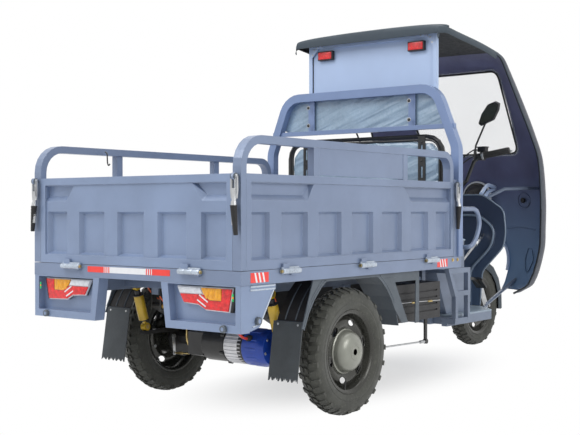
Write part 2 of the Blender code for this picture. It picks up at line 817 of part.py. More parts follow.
def make_bed():
    half = BED_WIDTH / 2
    low = BED_TOP - BEAM_HEIGHT
    inner = half - BEAM_WIDTH
    beams = [
        box((-half, half), (0, BEAM_WIDTH), (low, BED_TOP)),
        box((-half, half), (BED_LENGTH - BEAM_WIDTH, BED_LENGTH), (low, BED_TOP)),
        box((inner, half), (0.01, BED_LENGTH - 0.01), (low, BED_TOP)),
        box((-half, -inner), (0.01, BED_LENGTH - 0.01), (low, BED_TOP)),
    ]
    cross_low = low + 0.006
    for middle in (0.40, 0.80, 1.20):
        span = (-inner - 0.005, inner + 0.005)
        beams.append(box(span, (middle - 0.02, middle + 0.02), (cross_low, BED_TOP - 0.001)))
    sheet = (BED_TOP - FLOOR_THICKNESS - 0.0005, BED_TOP - 0.0005)
    beams.append(box((-inner - 0.006, inner + 0.006), (0.03, BED_LENGTH - 0.03), sheet))
    beams += bed_knuckles(REAR_HINGES)
    for side in (TO_RIGHT_SIDE, MIRROR_X @ TO_RIGHT_SIDE):
        beams += [moved(piece, side) for piece in bed_knuckles(SIDE_HINGES)]
    return finished(part("bed_frame", beams), *PAINT)


def make_front_board():
    """The fixed front wall with its corner posts and the ears of the front latches."""
    half = BED_WIDTH / 2
    inner = half - HOOP_WIDTH - BOARD_GAP
    low = BED_TOP + SEAT_GAP
    pieces = [box((-inner, inner), FRONT_BOARD_Y, (low, BOARD_TOP))]
    for side in (-1, 1):
        edges = sorted((side * half, side * (inner - 0.004)))
        pieces.append(box(edges, CORNER_POST_Y, (low, CORNER_POST_TOP)))
        middle = sum(CORNER_POST_Y) / 2
        pieces += latch_ear((side * half, middle, LATCH_Z), (side, 0, 0), (0, 1, 0))
    return finished(part("front_board", pieces), *PAINT)


def make_rear_apron():
    """The right-hand lamp box under the bed with its side plate."""
    outer = APRON_OUTER - JOIN_STEP
    face = prism(
        [
            (APRON_INNER_BOTTOM, APRON_BOTTOM),
            (outer, APRON_BOTTOM),
            (outer, APRON_TOP),
            (APRON_INNER_TOP, APRON_TOP),
        ],
        0,
        APRON_DEPTH,
        "Y",
    )
    plate = prism(APRON_SIDE, APRON_OUTER - APRON_PLATE, APRON_OUTER, "X")
    top = APRON_TOP - 0.004
    recess_outline = [
        (RECESS_INNER_BOTTOM, APRON_BOTTOM + APRON_LIP),
        (RECESS_OUTER, APRON_BOTTOM + APRON_LIP),
        (RECESS_OUTER, top),
        (RECESS_INNER_TOP, top),
    ]
    recess = loft(recess_outline, recess_outline, -0.01, RECESS_DEPTH, "Y")
    rear_sensor = rod((SENSOR_X, 0.004, SENSOR_Z), (SENSOR_X, -SENSOR_OUT, SENSOR_Z), SENSOR_RADIUS, 10)
    y, z = SIDE_SENSOR
    side_sensor = rod((APRON_OUTER - 0.003, y, z), (APRON_OUTER + SENSOR_OUT, y, z), SENSOR_RADIUS, 10)
    return finished(part("rear_apron_right", [face, plate, rear_sensor, side_sensor], [recess]), *PAINT)


def make_tail_lamp():
    outline = LAMP_OUTLINE
    back = RECESS_DEPTH - SEAT_GAP
    inner = [(x + (0.36 - x) * 0.05, z + (0.52 - z) * 0.10) for x, z in outline]
    lens = loft(inner, outline, LAMP_FACE_Y, LAMP_FACE_Y + 0.008, "Y")
    body = prism(outline, LAMP_FACE_Y + 0.006, back, "Y")
    return finished(part("tail_lamp_right", [body, lens]), *RED_LENS)


# Chassis


def make_chassis():
    top = RAIL_TOP
    low = RAIL_TOP - RAIL_HEIGHT
    middle = top - RAIL_HEIGHT / 2
    low_middle = LOW_RAIL_TOP - LOW_RAIL_HEIGHT / 2
    pieces = []
    half = RAIL_WIDTH / 2
    drop = RAIL_BEND_Y + 0.11
    for side in (-1, 1):
        x = sorted((side * (RAIL_X - half), side * (RAIL_X + half)))
        path = [(RAIL_REAR, middle), (RAIL_BEND_Y - 0.02, middle)]
        path += [(drop, low_middle), (NECK_Y + 0.02, low_middle)]
        pieces.append(bent_bar(path, LOW_RAIL_HEIGHT, x[0], x[1], "X"))
        pieces.append(box(x, (RAIL_REAR, RAIL_BEND_Y - 0.04), (low, top)))
        edges = sorted((side * (LOW_RAIL_X - 0.015), side * (LOW_RAIL_X + 0.015)))
        pieces.append(box(edges, LOW_RAIL_Y, (LOW_RAIL_TOP - LOW_RAIL_HEIGHT, LOW_RAIL_TOP)))
        pieces += step_frame(side)
    for place in CROSS_MEMBERS:
        pieces.append(box((-RAIL_X, RAIL_X), (place - 0.03, place + 0.03), (low + MEMBER_LIFT, top - 0.002)))
    wide = SHOCK_X + 0.030
    shock_low = SHOCK_TOP[1] + flat_radius(SHOCK_EYE, 10) + SEAT_GAP
    span = (SHOCK_MEMBER_Y - 0.02, SHOCK_MEMBER_Y + 0.02)
    pieces.append(box((-wide, wide), span, (shock_low, top - 0.001)))
    for place in (1.78, 2.02, NECK_Y):
        span = (place - 0.02, place + 0.02)
        reach = LOW_RAIL_X if place < LOW_RAIL_Y[1] else RAIL_X
        high = LOW_RAIL_TOP - 0.001
        pieces.append(box((-reach, reach), span, (LOW_RAIL_TOP - LOW_RAIL_HEIGHT + 0.002, high)))
    pieces += neck()
    pieces += spring_hangers()
    pieces += crank_bracket()
    bore_start, bore_end = steering_point(HEAD_SPAN[0] - 0.02), steering_point(HEAD_SPAN[1] + 0.02)
    bores = [rod(bore_start, bore_end, STEERER_RADIUS + 0.0016, 12), fairing_cutter()]
    return finished(part("chassis_frame", pieces, bores), *PAINT)


def step_frame(side):
    """The step at one side between the bed and the floor: a welded frame on two legs."""
    rear, front = STEP_Y
    half = STEP_BAR / 2
    x = side * STEP_X
    outer = sorted((x - half, x + half))
    lean = 0.068
    top, low = STEP_TOP_Z + half, STEP_LOW_Z - half
    outline = [(rear, top), (front, top), (front, low), (rear + lean, low)]
    hole = [
        (rear + STEP_BAR * 1.5, top - STEP_BAR),
        (front - STEP_BAR, top - STEP_BAR),
        (front - STEP_BAR, low + STEP_BAR),
        (rear + lean + STEP_BAR * 0.9, low + STEP_BAR),
    ]
    inner = prism(hole, x - STEP_BAR, x + STEP_BAR, "X")
    pieces = [combined(prism(outline, *outer, "X"), [inner], "DIFFERENCE")]
    foot = LOW_RAIL_TOP - 0.012
    inset = (outer[0] + JOIN_STEP, outer[1] - JOIN_STEP)
    for y in (rear + lean + half + 0.004, front - half - 0.001):
        pieces.append(box(inset, (y - half + JOIN_STEP, y + half - JOIN_STEP), (foot, STEP_LOW_Z)))
    reach = sorted((side * (LOW_RAIL_X - 0.005), side * (STEP_X + half - 0.002)))
    pieces.append(box(reach, (rear + lean + 0.002, front - 0.002), (LOW_RAIL_TOP - 0.030, LOW_RAIL_TOP - 0.002)))
    y = rear + STEP_BAR
    inward = sorted((side * (RAIL_X - 0.004), side * (STEP_X - 0.002)))
    pieces.append(box(inward, (y - half, y + half), (STEP_TOP_Z - 0.010, STEP_TOP_Z + 0.008)))
    return pieces


STEER_UP = Vector((0, -math.sin(RAKE), math.cos(RAKE)))
STEER_AHEAD = Vector((0, math.cos(RAKE), math.sin(RAKE)))


def steering_point(along, ahead=0.0, x=0.0):
    """A point by its distance up the steering axis from beside the front axle, and ahead of it."""
    axle = Vector((x, *FRONT_AXLE))
    return axle + STEER_UP * along + STEER_AHEAD * (ahead - FORK_OFFSET)


def neck():
    """The head tube, its down tube and the braces that carry the fairing."""
    low_middle = LOW_RAIL_TOP - LOW_RAIL_HEIGHT / 2
    pieces = [rod(steering_point(HEAD_SPAN[0]), steering_point(HEAD_SPAN[1]), HEAD_RADIUS, 12)]
    head_low = steering_point(HEAD_SPAN[0] + 0.035, -0.010)
    head_high = steering_point(HEAD_SPAN[1] - 0.035, -0.010)
    down = [(0, NECK_Y, low_middle), (0, 2.372, 0.40), (0, 2.385, 0.60), tuple(head_low)]
    pieces.append(tube(rounded(down, 0.06, 1), 0.021, 1))
    pieces.append(tube([(0, 2.383, 0.56), (0, 2.372, 0.70), tuple(head_high)], 0.014, 1))
    for side in (-1, 1):
        high = [
            (0, head_high.y + 0.012, head_high.z - 0.01),
            (side * 0.20, 2.440, 0.880),
            (side * 0.330, 2.530, 0.960),
            (side * 0.405, 2.660, 0.965),
            (side * 0.420, 2.800, 0.965),
        ]
        pieces.append(tube(high, 0.010, 1))
        low = [
            (side * 0.295, NECK_Y, low_middle),
            (side * 0.270, 2.440, 0.325),
            (side * 0.262, 2.640, 0.385),
            (side * 0.300, 2.770, 0.455),
        ]
        pieces.append(tube(low, 0.010, 1))
    return pieces


def spring_hangers():
    """The brackets under the rails that the leaf springs hang from."""
    axle_y = REAR_AXLE[0]
    low = RAIL_TOP - RAIL_HEIGHT + 0.004
    pieces = []
    for side in (-1, 1):
        shackle_y = axle_y - LEAF_HALF
        x = sorted((side * (LEAF_X - 0.020), side * (LEAF_X + 0.020)))
        pieces.append(box(x, (shackle_y - 0.020, shackle_y + 0.020), (LEAF_EYE_Z + 0.050, low)))
        front_y = axle_y + LEAF_HALF
        for edge in (-1, 1):
            inner = LEAF_X + edge * (LEAF_WIDTH / 2 + 0.0006)
            outer = inner + edge * 0.006
            limits = sorted((side * inner, side * outer))
            pieces.append(box(limits, (front_y - 0.022, front_y + 0.026), (LEAF_EYE_Z - 0.018, low)))
        cap = sorted((side * (LEAF_X - 0.030), side * (LEAF_X + 0.030)))
        pieces.append(box(cap, (front_y - 0.022, front_y + 0.026), (LEAF_EYE_Z + 0.030, low)))
    return pieces


def crank_bracket():
    """The hanger and pin of the brake crank, on the right-hand rail."""
    y, z = CRANK_PIVOT
    low = z - 0.016
    inner = CRANK_X - 0.014
    plate = box((inner - 0.006, inner), (y - 0.016, y + 0.016), (low, RAIL_TOP - 0.020))
    arm = box((RAIL_X + 0.005, inner - 0.001), (y - 0.016, y + 0.016), (RAIL_TOP - 0.050, RAIL_TOP - 0.020))
    pin = rod((inner - 0.003, y, z), (CRANK_X + 0.010, y, z), 0.006, PIN_SIDES)
    return [plate, arm, pin]


# Running gear


def make_axle():
    """The axle tube with its back plates, final drive and the arms under the shock absorbers."""
    y, z = REAR_AXLE
    end = HALF_TRACK - DRUM_INNER - PIN_GAP
    pieces = [rod((-end + 0.012, y, z), (end - 0.012, y, z), AXLE_TUBE_RADIUS, 12)]
    for side in (-1, 1):
        pieces.append(rod((side * (end - 0.013), y, z), (side * end, y, z), DRUM_RADIUS + 0.004, 12))
        x = sorted((side * (SHOCK_X - 0.014), side * (SHOCK_X + 0.014)))
        arm_top = SHOCK_BOTTOM[1] - flat_radius(SHOCK_EYE, 10) - SEAT_GAP
        pieces.append(box(x, (SHOCK_BOTTOM[0] - 0.02, y - 0.01), (arm_top - 0.016, arm_top)))
    rod_y, rod_z = ROD_END
    arm = (rod_y - 0.036, rod_y - SEAT_GAP - 0.0002)
    pieces.append(box((CRANK_X - 0.014, CRANK_X + 0.006), arm, (rod_z - 0.016, rod_z + 0.016)))
    gear = [(0, -0.002), (0.070, -0.004), (0.098, -0.030), (0.095, -0.080), (0.055, -0.112), (0, -0.115)]
    pieces.append(turned(gear, (0, y, z), "X", 12))
    box_outline = [
        (MOTOR_Y - 0.055, MOTOR_Z - 0.050),
        (MOTOR_Y + 0.030, MOTOR_Z - 0.068),
        (y - 0.02, z - 0.060),
        (y - 0.02, z + 0.065),
        (MOTOR_Y + 0.030, MOTOR_Z + 0.066),
        (MOTOR_Y - 0.055, MOTOR_Z + 0.045),
    ]
    pieces.append(prism(box_outline, -0.085, GEARBOX_FACE, "X"))
    return finished(part("axle_housing", pieces), *BLACK_STEEL)


def make_motor():
    """The drive motor: its body, and the wider end cover with the lead's outlet."""
    low, high = MOTOR_BODY_X
    y, z = MOTOR_Y, MOTOR_Z
    pieces = [rod((low, y, z), (high + 0.005, y, z), MOTOR_RADIUS, 14)]
    cap = [
        (0, high + 0.001),
        (MOTOR_RADIUS - 0.002, high + 0.001),
        (MOTOR_RADIUS + 0.004, high + 0.008),
        (MOTOR_RADIUS + 0.004, MOTOR_CAP_X - 0.020),
        (MOTOR_RADIUS - 0.008, MOTOR_CAP_X),
        (0, MOTOR_CAP_X),
    ]
    pieces.append(turned(cap, (0, y, z), "X", 14))
    x, mouth, height = CABLE_ROUTE[0]
    pieces.append(rod((x, y - 0.03, height), (x, mouth + SEAT_GAP, height), 0.010, 8))
    return finished(part("motor", pieces), *BLUE_CAP)


# The motor's lead, from the cover's outlet to its clip on the chassis member
CABLE_ROUTE = [
    (0.262, 0.395, 0.330),
    (0.262, 0.384, 0.330),
    (0.260, 0.364, 0.338),
    (0.252, 0.336, 0.366),
    (0.240, 0.312, 0.404),
    (0.228, 0.296, 0.446),
    (0.220, 0.286, 0.486),
    (0.218, 0.284, 0.510),
    (0.218, 0.284, RAIL_TOP - RAIL_HEIGHT + MEMBER_LIFT - SEAT_GAP),
]
CABLE_RADIUS = 0.005


def make_motor_cable():
    return finished(part("motor_cable", [tube(CABLE_ROUTE, CABLE_RADIUS, 2)]), *RED_LENS)


def leaf_height(distance):
    """The main leaf's underside above the axle's top, by the distance from the axle along the spring."""
    rise = LEAF_EYE_Z - (REAR_AXLE[1] + AXLE_TUBE_RADIUS + SEAT_GAP + LEAF_COUNT * LEAF_THICKNESS)
    return LEAF_EYE_Z - rise * (1 - (distance / LEAF_HALF) ** 2)


def make_leaf_spring():
    """The leaf pack with its eyes, shackle plates and the U-bolts round the axle."""
    y, z = REAR_AXLE
    x = (LEAF_X - LEAF_WIDTH / 2, LEAF_X + LEAF_WIDTH / 2)
    pieces = []
    for leaf in range(LEAF_COUNT):
        reach = LEAF_HALF * (1 - 0.30 * leaf)
        stations = [reach * (step / 2 - 1) for step in range(5)]
        drop = leaf * LEAF_THICKNESS
        upper = [(y + s, leaf_height(s) - drop + LEAF_THICKNESS * 0.1) for s in stations]
        lower = [(y + s, leaf_height(s) - drop - LEAF_THICKNESS) for s in reversed(stations)]
        pieces.append(prism(upper + lower, x[0] + 0.0004 * leaf, x[1] - 0.0004 * leaf, "X"))
    for end in (-1, 1):
        eye = y + end * LEAF_HALF
        pieces.append(rod((x[0] - 0.0001, eye, LEAF_EYE_Z), (x[1] + 0.0001, eye, LEAF_EYE_Z), 0.014, 8))
    eye = y - LEAF_HALF
    for edge in (-1, 1):
        inner = LEAF_X + edge * (LEAF_WIDTH / 2 - 0.002)
        outer = inner + edge * 0.007
        limits = sorted((inner, outer))
        pieces.append(box(limits, (eye - 0.014, eye + 0.014), (LEAF_EYE_Z - 0.016, LEAF_EYE_Z + 0.080)))
    plate = leaf_height(0)
    pieces.append(box((x[0] - 0.016, x[1] + 0.016), (y - 0.065, y + 0.065), (plate - 0.002, plate + 0.008)))
    drop = AXLE_TUBE_RADIUS + 0.011
    for edge in (x[0] - 0.008, x[1] + 0.008):
        turns = [math.pi * step / 4 for step in range(5)]
        arc = [(y - drop * math.cos(turn), z - drop * math.sin(turn)) for turn in turns]
        path = [(y - drop, plate + 0.012)] + arc + [(y + drop, plate + 0.012)]
        pieces.append(bent_bar(path, 0.009, edge - 0.0045, edge + 0.0045, "X"))
    return finished(part("leaf_spring_right", pieces), *BLACK_STEEL)


def make_shock():
    """A shock absorber: eyes at both ends, a rod above and the cylinder below."""
    top = Vector((SHOCK_X, *SHOCK_TOP))
    bottom = Vector((SHOCK_X, *SHOCK_BOTTOM))
    along = bottom - top
    pieces = [
        rod(top, bottom, 0.008, 8),
        rod(top + along * 0.22, top + along * 0.84, 0.021, 12),
    ]
    for eye in (top, bottom):
        pieces.append(rod(eye - Vector((0.013, 0, 0)), eye + Vector((0.013, 0, 0)), SHOCK_EYE, 10))
    return finished(part("shock_absorber_right", pieces), *YELLOW)


def nose_down():
    """The angle by which the level chassis leans down onto the smaller front wheel."""
    ahead = FRONT_AXLE[0] - REAR_AXLE[0]
    above = FRONT_AXLE[1] - REAR_AXLE[1]
    apart = math.hypot(ahead, above)
    return math.atan2(above, ahead) + math.asin((REAR_RADIUS - FRONT_RADIUS) / apart)


def wheel_phase():
    """Turns a wheel so that it stands on one of its facets once the model leans onto its wheels."""
    return math.pi / WHEEL_STEPS + nose_down()


def tyre_profile(radius, half):
    """From the inner bead over the tread to the outer bead."""
    crown = 0.60 * half
    bead = BEAD_SHARE * half
    return [
        (RIM_SEAT + SEAT_GAP, -bead),
        (radius - 0.030, -half),
        (radius, -crown),
        (radius, crown),
        (radius - 0.030, half),
        (RIM_SEAT + SEAT_GAP, bead),
    ]


def make_tyre(name, radius, half, centre):
    tyre = turned(tyre_profile(radius, half), centre, "X", phase=wheel_phase())
    return finished(part(name, [tyre]), *RUBBER, 40)


def rim_profile(half, hub, bore):
    """A pressed rim from the hub's outer face, over both flanges, to the hub's inner face."""
    seat = BEAD_SHARE * half + 0.0015
    lip = seat + 0.0045
    flange = RIM_RADIUS + 0.004
    outer = [
        (0.142, 0.006),
        (0.152, lip),
        (flange, lip),
        (RIM_SEAT, seat),
        (RIM_SEAT, -seat),
        (flange, -lip),
        (0.152, -lip),
        (0.146, 0.000),
    ]
    first, last = hub
    if bore:
        return [(bore, first[0][1])] + first + outer + last + [(bore, last[-1][1])]
    return first + outer + last


def oval_holes(centre, span):
    """Cutters for the ring of oval holes through a wheel's disc."""
    cutters = []
    for step in range(HOLE_COUNT):
        turn = 2 * math.pi * step / HOLE_COUNT + math.radians(15)
        hole = rod((span[0], 0, HOLE_RING), (span[1], 0, HOLE_RING), 0.010, 6)
        data = hole.data
        stretch = Matrix.Diagonal((1, 1.75, 1, 1))
        data.transform(Matrix.Translation(centre) @ Matrix.Rotation(turn, 4, "X") @ stretch)
        cutters.append(hole)
    return cutters


def make_rear_wheel():
    first = [(0, 0.062), (0.072, 0.050), (0.089, 0.006)]
    last = [(DRUM_RADIUS + 0.003, 0.000), (DRUM_RADIUS, -DRUM_INNER), (0, -DRUM_INNER)]
    centre = (HALF_TRACK, *REAR_AXLE)
    disc = turned(rim_profile(REAR_TYRE_HALF, (first, last), 0), centre, "X", phase=wheel_phase())
    cuts = oval_holes(centre, (-0.010, 0.020))
    return finished(part("rear_wheel_right", [disc], cuts), *STEEL, 35)


def make_front_wheel():
    first = [(0.030, 0.044), (0.046, 0.012), (0.070, 0.006)]
    last = [(0.070, 0.000), (0.054, -0.036)]
    centre = (0, *FRONT_AXLE)
    bore = AXLE_ROD_RADIUS + PIN_GAP
    disc = turned(rim_profile(FRONT_TYRE_HALF, (first, last), bore), centre, "X", phase=wheel_phase())
    cuts = oval_holes(centre, (-0.010, 0.020))
    return finished(part("front_wheel", [disc], cuts), *STEEL, 35)


def make_fender():
    """The right-hand wheel arch: a ribbed liner in two runs, and the outer plates that hold it."""
    y, z = REAR_AXLE
    low, high = LINER_X
    top = BED_TOP - BEAM_HEIGHT - SEAT_GAP

    def arc(radius, start, end, steps=4):
        turns = [math.radians(start + (end - start) * step / steps) for step in range(steps + 1)]
        return [(y + radius * math.cos(turn), z + radius * math.sin(turn)) for turn in turns]

    steep = math.degrees(math.asin((top - 0.003 - z) / LINER_RADIUS))
    inner = LINER_RADIUS - 0.004
    pieces = []
    for start, end in ((180 - steep, 157.5), (steep, 12.6)):
        sheet = arc(LINER_RADIUS, start, end) + arc(inner, end, start)
        pieces.append(prism(sheet, low, high, "X"))
    arch = math.degrees(math.asin((top - z) / (ARCH_RADIUS + 0.003)))
    rear_plate = [(0.376, 0.388), (0.450, top)] + arc(ARCH_RADIUS + 0.003, 180 - arch, 159.5)
    front_plate = (
        [(y + (ARCH_RADIUS + 0.003) * math.cos(math.radians(arch)) - 0.003, top)]
        + arc(ARCH_RADIUS - 0.004, arch, 27)
        + [(1.098, 0.351), (1.150, 0.351), (1.042, 0.532), (1.216, 0.532), (1.212, 0.342), (1.244, 0.342)]
        + [(1.244, top)]
    )
    pieces.append(prism(rear_plate, *FENDER_X, "X"))
    pieces.append(prism(front_plate, *FENDER_X, "X"))
    pieces.append(box((FENDER_X[0] - 0.012, FENDER_X[1]), (0.46, 1.10), (top - 0.012, top)))
    lip = arc(LINER_RADIUS, 157.5, 157.5, 1)[0]
    pieces.append(box((low, high), (lip[0] - 0.003, lip[0] + 0.004), (lip[1] - 0.020, lip[1] + 0.012)))
    return finished(part("fender_right", pieces), *BLACK_PLASTIC)


def make_mud_flap():
    """A rubber flap with a serrated hem, hung behind the arch's rear lip."""
    y, z = REAR_AXLE
    turn = math.radians(157.5)
    lip_y = y + LINER_RADIUS * math.cos(turn) - 0.003
    lip_z = z + LINER_RADIUS * math.sin(turn)
    low, high = MUD_FLAP_X
    length = 0.232
    teeth = 9
    pitch = (high - low) / teeth
    outline = [(high, 0), (low, 0)]
    for tooth in range(teeth):
        start = low + tooth * pitch
        outline += [(start, -length), (start + pitch * 0.55, -length + 0.002)]
        outline.append((start + pitch * 0.8, -length + 0.018))
    outline.append((high, -length))
    flap = prism(outline, -MUD_FLAP_THICKNESS, 0, "Y")
    lean = math.radians(-9)
    top = lip_z + 0.010
    shift = lip_y - SEAT_GAP - 0.0008
    moved(flap, Matrix.Translation((0, shift, top)) @ Matrix.Rotation(lean, 4, "X"))
    return finished(part("mud_flap_right", [flap]), *RUBBER)


def make_battery_box():
    """The battery tray under the bed, with louvres in its two ends."""
    rear, front = BATTERY_Y
    half = BATTERY_HALF
    pieces = [box((-half, half), BATTERY_Y, (BATTERY_BOTTOM, RAIL_TOP - RAIL_HEIGHT - SEAT_GAP))]
    cuts = []
    for side in (-1, 1):
        for step in range(4):
            z = BATTERY_BOTTOM + 0.035 + step * 0.030
            x = sorted((side * (half - 0.005), side * (half + 0.015)))
            cuts.append(box(x, (rear + 0.025, front - 0.025), (z, z + 0.007)))
    return finished(part("battery_box", pieces, cuts), *BLACK_PLASTIC)


# Front fork and steering


def make_fork():
    """The steerer, the lower crown and the two stanchions."""
    low, high = CROWN_SPAN
    pieces = [
        rod(steering_point(low + 0.005), steering_point(STEERER_TOP), STEERER_RADIUS, 12),
        rod(steering_point(HEAD_SPAN[1] + PIN_GAP), steering_point(HEAD_SPAN[1] + 0.014), 0.024, 12),
        rod(steering_point(high - 0.004), steering_point(HEAD_SPAN[0] - PIN_GAP), 0.024, 12),
    ]
    pieces.append(
        flat_bar(steering_point(low, 0.023), steering_point(high, 0.023), 2 * LEG_X + 0.044, 0.075, (1, 0, 0))
    )
    for side in (-1, 1):
        x = side * LEG_X
        start = steering_point(high - 0.006, FORK_OFFSET, x)
        end = steering_point(STANCHION_END, FORK_OFFSET, x)
        pieces.append(rod(start, end, STANCHION_RADIUS, 10))
    return finished(part("steering_fork", pieces), *BLACK_STEEL, 40)


def make_sliders():
    """The fork's lower legs, joined by the axle rod that the front wheel turns on."""
    pieces, bores = [], []
    for side in (-1, 1):
        x = side * LEG_X
        start = steering_point(-0.012, FORK_OFFSET, x)
        end = steering_point(SLIDER_TOP, FORK_OFFSET, x)
        pieces.append(rod(start, end, SLIDER_RADIUS, 10))
        bottom = steering_point(STANCHION_END - FORK_TRAVEL - 0.012, FORK_OFFSET, x)
        over = steering_point(SLIDER_TOP + 0.02, FORK_OFFSET, x)
        bores.append(rod(bottom, over, STANCHION_RADIUS + PIN_GAP, 10))
    y, z = FRONT_AXLE
    reach = LEG_X + SLIDER_RADIUS + 0.012
    pieces.append(rod((-reach, y, z), (reach, y, z), AXLE_ROD_RADIUS, 10))
    for side in (-1, 1):
        near = FRONT_TYRE_HALF + 0.003
        pieces.append(rod((side * near, y, z), (side * LEG_X, y, z), 0.014, 8))
    return finished(part("fork_sliders", pieces, bores), *STEEL, 40)


def make_front_mudguard():
    """The mudguard over the front wheel, with side skirts and brackets to the sliders."""
    y, z = FRONT_AXLE
    sweep = (GUARD_SWEEP[1] - GUARD_SWEEP[0]) / 8
    turns = [math.radians(GUARD_SWEEP[0] + sweep * step) for step in range(9)]
    wall = 0.003

    def ring(radius):
        return [(y + radius * math.cos(turn), z + radius * math.sin(turn)) for turn in turns]

    wide = GUARD_HALF - JOIN_STEP
    crown = prism(ring(GUARD_RADIUS + wall) + ring(GUARD_RADIUS)[::-1], -wide, wide, "X")
    pieces = [crown]
    for side in (-1, 1):
        edges = sorted((side * GUARD_HALF, side * (GUARD_HALF - wall)))
        skirt = ring(GUARD_RADIUS + wall * 0.5) + ring(GUARD_RADIUS - 0.045)[::-1]
        pieces.append(prism(skirt, edges[0], edges[1], "X"))
        spot_on_leg = steering_point(0.232, FORK_OFFSET, 0)
        beside_leg = LEG_X - flat_radius(SLIDER_RADIUS, 10) - SEAT_GAP
        reach = sorted((side * (GUARD_HALF - 0.001), side * beside_leg))
        span = (spot_on_leg.y - 0.012, spot_on_leg.y + 0.012)
        pieces.append(box(reach, span, (spot_on_leg.z - 0.012, spot_on_leg.z + 0.012)))
    return finished(part("front_mudguard", pieces), *DARK_SHELL)


def handlebar_path(side):
    points = [(0, 2.306, 1.012), BAR_INNER, BAR_LOW, BAR_KNEE, BAR_END]
    return rounded([(side * x, y, z) for x, y, z in points], 0.045, 1)


def bar_direction():
    return (Vector(BAR_END) - Vector(BAR_KNEE)).normalized()


def on_grip(share, side=1):
    """A point on the straight end of the bar, by its share from knee to end."""
    place = Vector(BAR_KNEE).lerp(Vector(BAR_END), share)
    return Vector((side * place.x, place.y, place.z))


def lever_pivot(side):
    place = on_grip(0.13, side)
    return place + Vector((0, LEVER_AHEAD * 0.72, 0))


def make_handlebar():
    """The bar on its clamp, with the fixed left grip, lever perches, mirror bosses and switch housing."""
    pieces = [tube(handlebar_path(side), BAR_RADIUS, 1) for side in (-1, 1)]
    clamp = steering_point(STEERER_TOP + SEAT_GAP)
    pieces.append(rod(clamp, steering_point(STEERER_TOP + 0.034), 0.026, 10))
    pieces.append(rod(on_grip(GRIP_START, -1), on_grip(1.0, -1), GRIP_RADIUS, 10))
    for side in (-1, 1):
        pivot = lever_pivot(side)
        middle = on_grip(0.13, side)
        across = bar_direction()
        across = Vector((side * across.x, across.y, across.z))
        pieces.append(rod(middle - across * 0.012, middle + across * 0.012, BAR_RADIUS + 0.007, 8))
        low = Vector((0, 0, 0.014))
        ahead = (pivot - middle).normalized() * 0.009
        pieces.append(flat_bar(middle - low, pivot - low + ahead, 0.018, 0.012, (1, 0, 0)))
        pieces.append(rod(pivot - low, pivot + Vector((0, 0, 0.009)), 0.004, PIN_SIDES))
        x, y = MIRROR_BASE
        boss = Vector((side * x, y, BAR_KNEE[2] + MIRROR_BOSS))
        pieces.append(rod(Vector((side * x, y, BAR_KNEE[2] - 0.010)), boss, 0.009, 8))
    switch = on_grip(0.02, -1)
    pieces.append(rod(switch + Vector((-0.016, 0, 0)), switch + Vector((0.012, 0, 0)), 0.021, 10))
    face = HORN_FACE
    bore = rod(face + Vector((0, 0.008, 0)), face - Vector((0, 0.02, 0)), HORN_RADIUS + PIN_GAP, 10)
    return finished(part("handlebar", pieces, [bore]), *BLACK_STEEL, 40)


HORN_RADIUS = 0.0055
HORN_TRAVEL = 0.002
HORN_FACE = on_grip(0.02, -1) + Vector((-0.002, -0.021, 0))


def make_horn_button():
    start = HORN_FACE + Vector((0, 0.008 - HORN_TRAVEL - 0.0008, 0))
    button = rod(start, HORN_FACE - Vector((0, 0.005, 0)), HORN_RADIUS, 10)
    return finished(part("horn_button", [button]), *YELLOW)


def make_throttle():
    """The twist grip that turns on the right-hand end of the bar."""
    start, end = on_grip(GRIP_START), on_grip(1.02)
    pieces = [
        rod(start, end, GRIP_RADIUS, 10),
        rod(start, start + bar_direction() * 0.006, GRIP_RADIUS + 0.006, 10),
    ]
    inner, outer = start - bar_direction() * 0.01, on_grip(1.0) + bar_direction() * 0.001
    bore = rod(inner, outer, BAR_RADIUS + 2 * PIN_GAP, 10)
    return finished(part("throttle_grip", pieces, [bore]), *RUBBER, 40)


def make_brake_lever():
    pivot = lever_pivot(1)
    along = bar_direction()
    ahead = Vector((-along.y, along.x, 0)).normalized()
    tip = pivot + along * 0.150 + ahead * 0.016
    elbow = pivot + along * 0.030 + ahead * 0.012
    pieces = [
        rod(pivot - Vector((0, 0, 0.007)), pivot + Vector((0, 0, 0.007)), 0.0095, 8),
        flat_bar(pivot, elbow + along * 0.004, 0.008, 0.007, (0, 0, 1)),
        flat_bar(elbow, tip, 0.010, 0.006, (0, 0, 1)),
        rod(tip - Vector((0, 0, 0.006)), tip + Vector((0, 0, 0.006)), 0.006, 8),
    ]
    bore = rod(pivot - Vector((0, 0, 0.02)), pivot + Vector((0, 0, 0.02)), 0.004 + PIN_GAP, PIN_SIDES)
    return finished(part("brake_lever_right", pieces, [bore]), *STEEL, 40)


def make_mirror():
    """A mirror head on its stalk, which turns in the boss on the handlebar."""
    x, y = MIRROR_BASE
    base = Vector((x, y, BAR_KNEE[2] + MIRROR_BOSS + SEAT_GAP))
    head = Vector(MIRROR_CENTRE)
    stalk = [base + Vector((0, 0, 0.008)), base + Vector((0.004, 0, 0.034)), head - Vector((0.008, 0, 0.02))]
    pieces = [
        rod(base, base + Vector((0, 0, 0.014)), 0.008, 8),
        tube(stalk, 0.005, 1),
    ]
    face = [
        (-0.072, -0.030),
        (-0.062, -0.044),
        (0.020, -0.040),
        (0.062, 0.000),
        (0.076, 0.030),
        (0.056, 0.050),
        (0.014, 0.050),
        (-0.040, 0.012),
    ]
    front = [(u * 0.93, v * 0.93) for u, v in face]
    shape = loft(front, face, -0.012, 0.002, "Y")
    back = loft(face, [(u * 0.72, v * 0.72) for u, v in face], 0.0015, 0.020, "Y")
    for piece in (shape, back):
        moved(piece, Matrix.Translation(head) @ Matrix.Rotation(math.radians(-18), 4, "Y"))
        pieces.append(piece)
    return finished(part("mirror_right", pieces), *BLACK_PLASTIC)


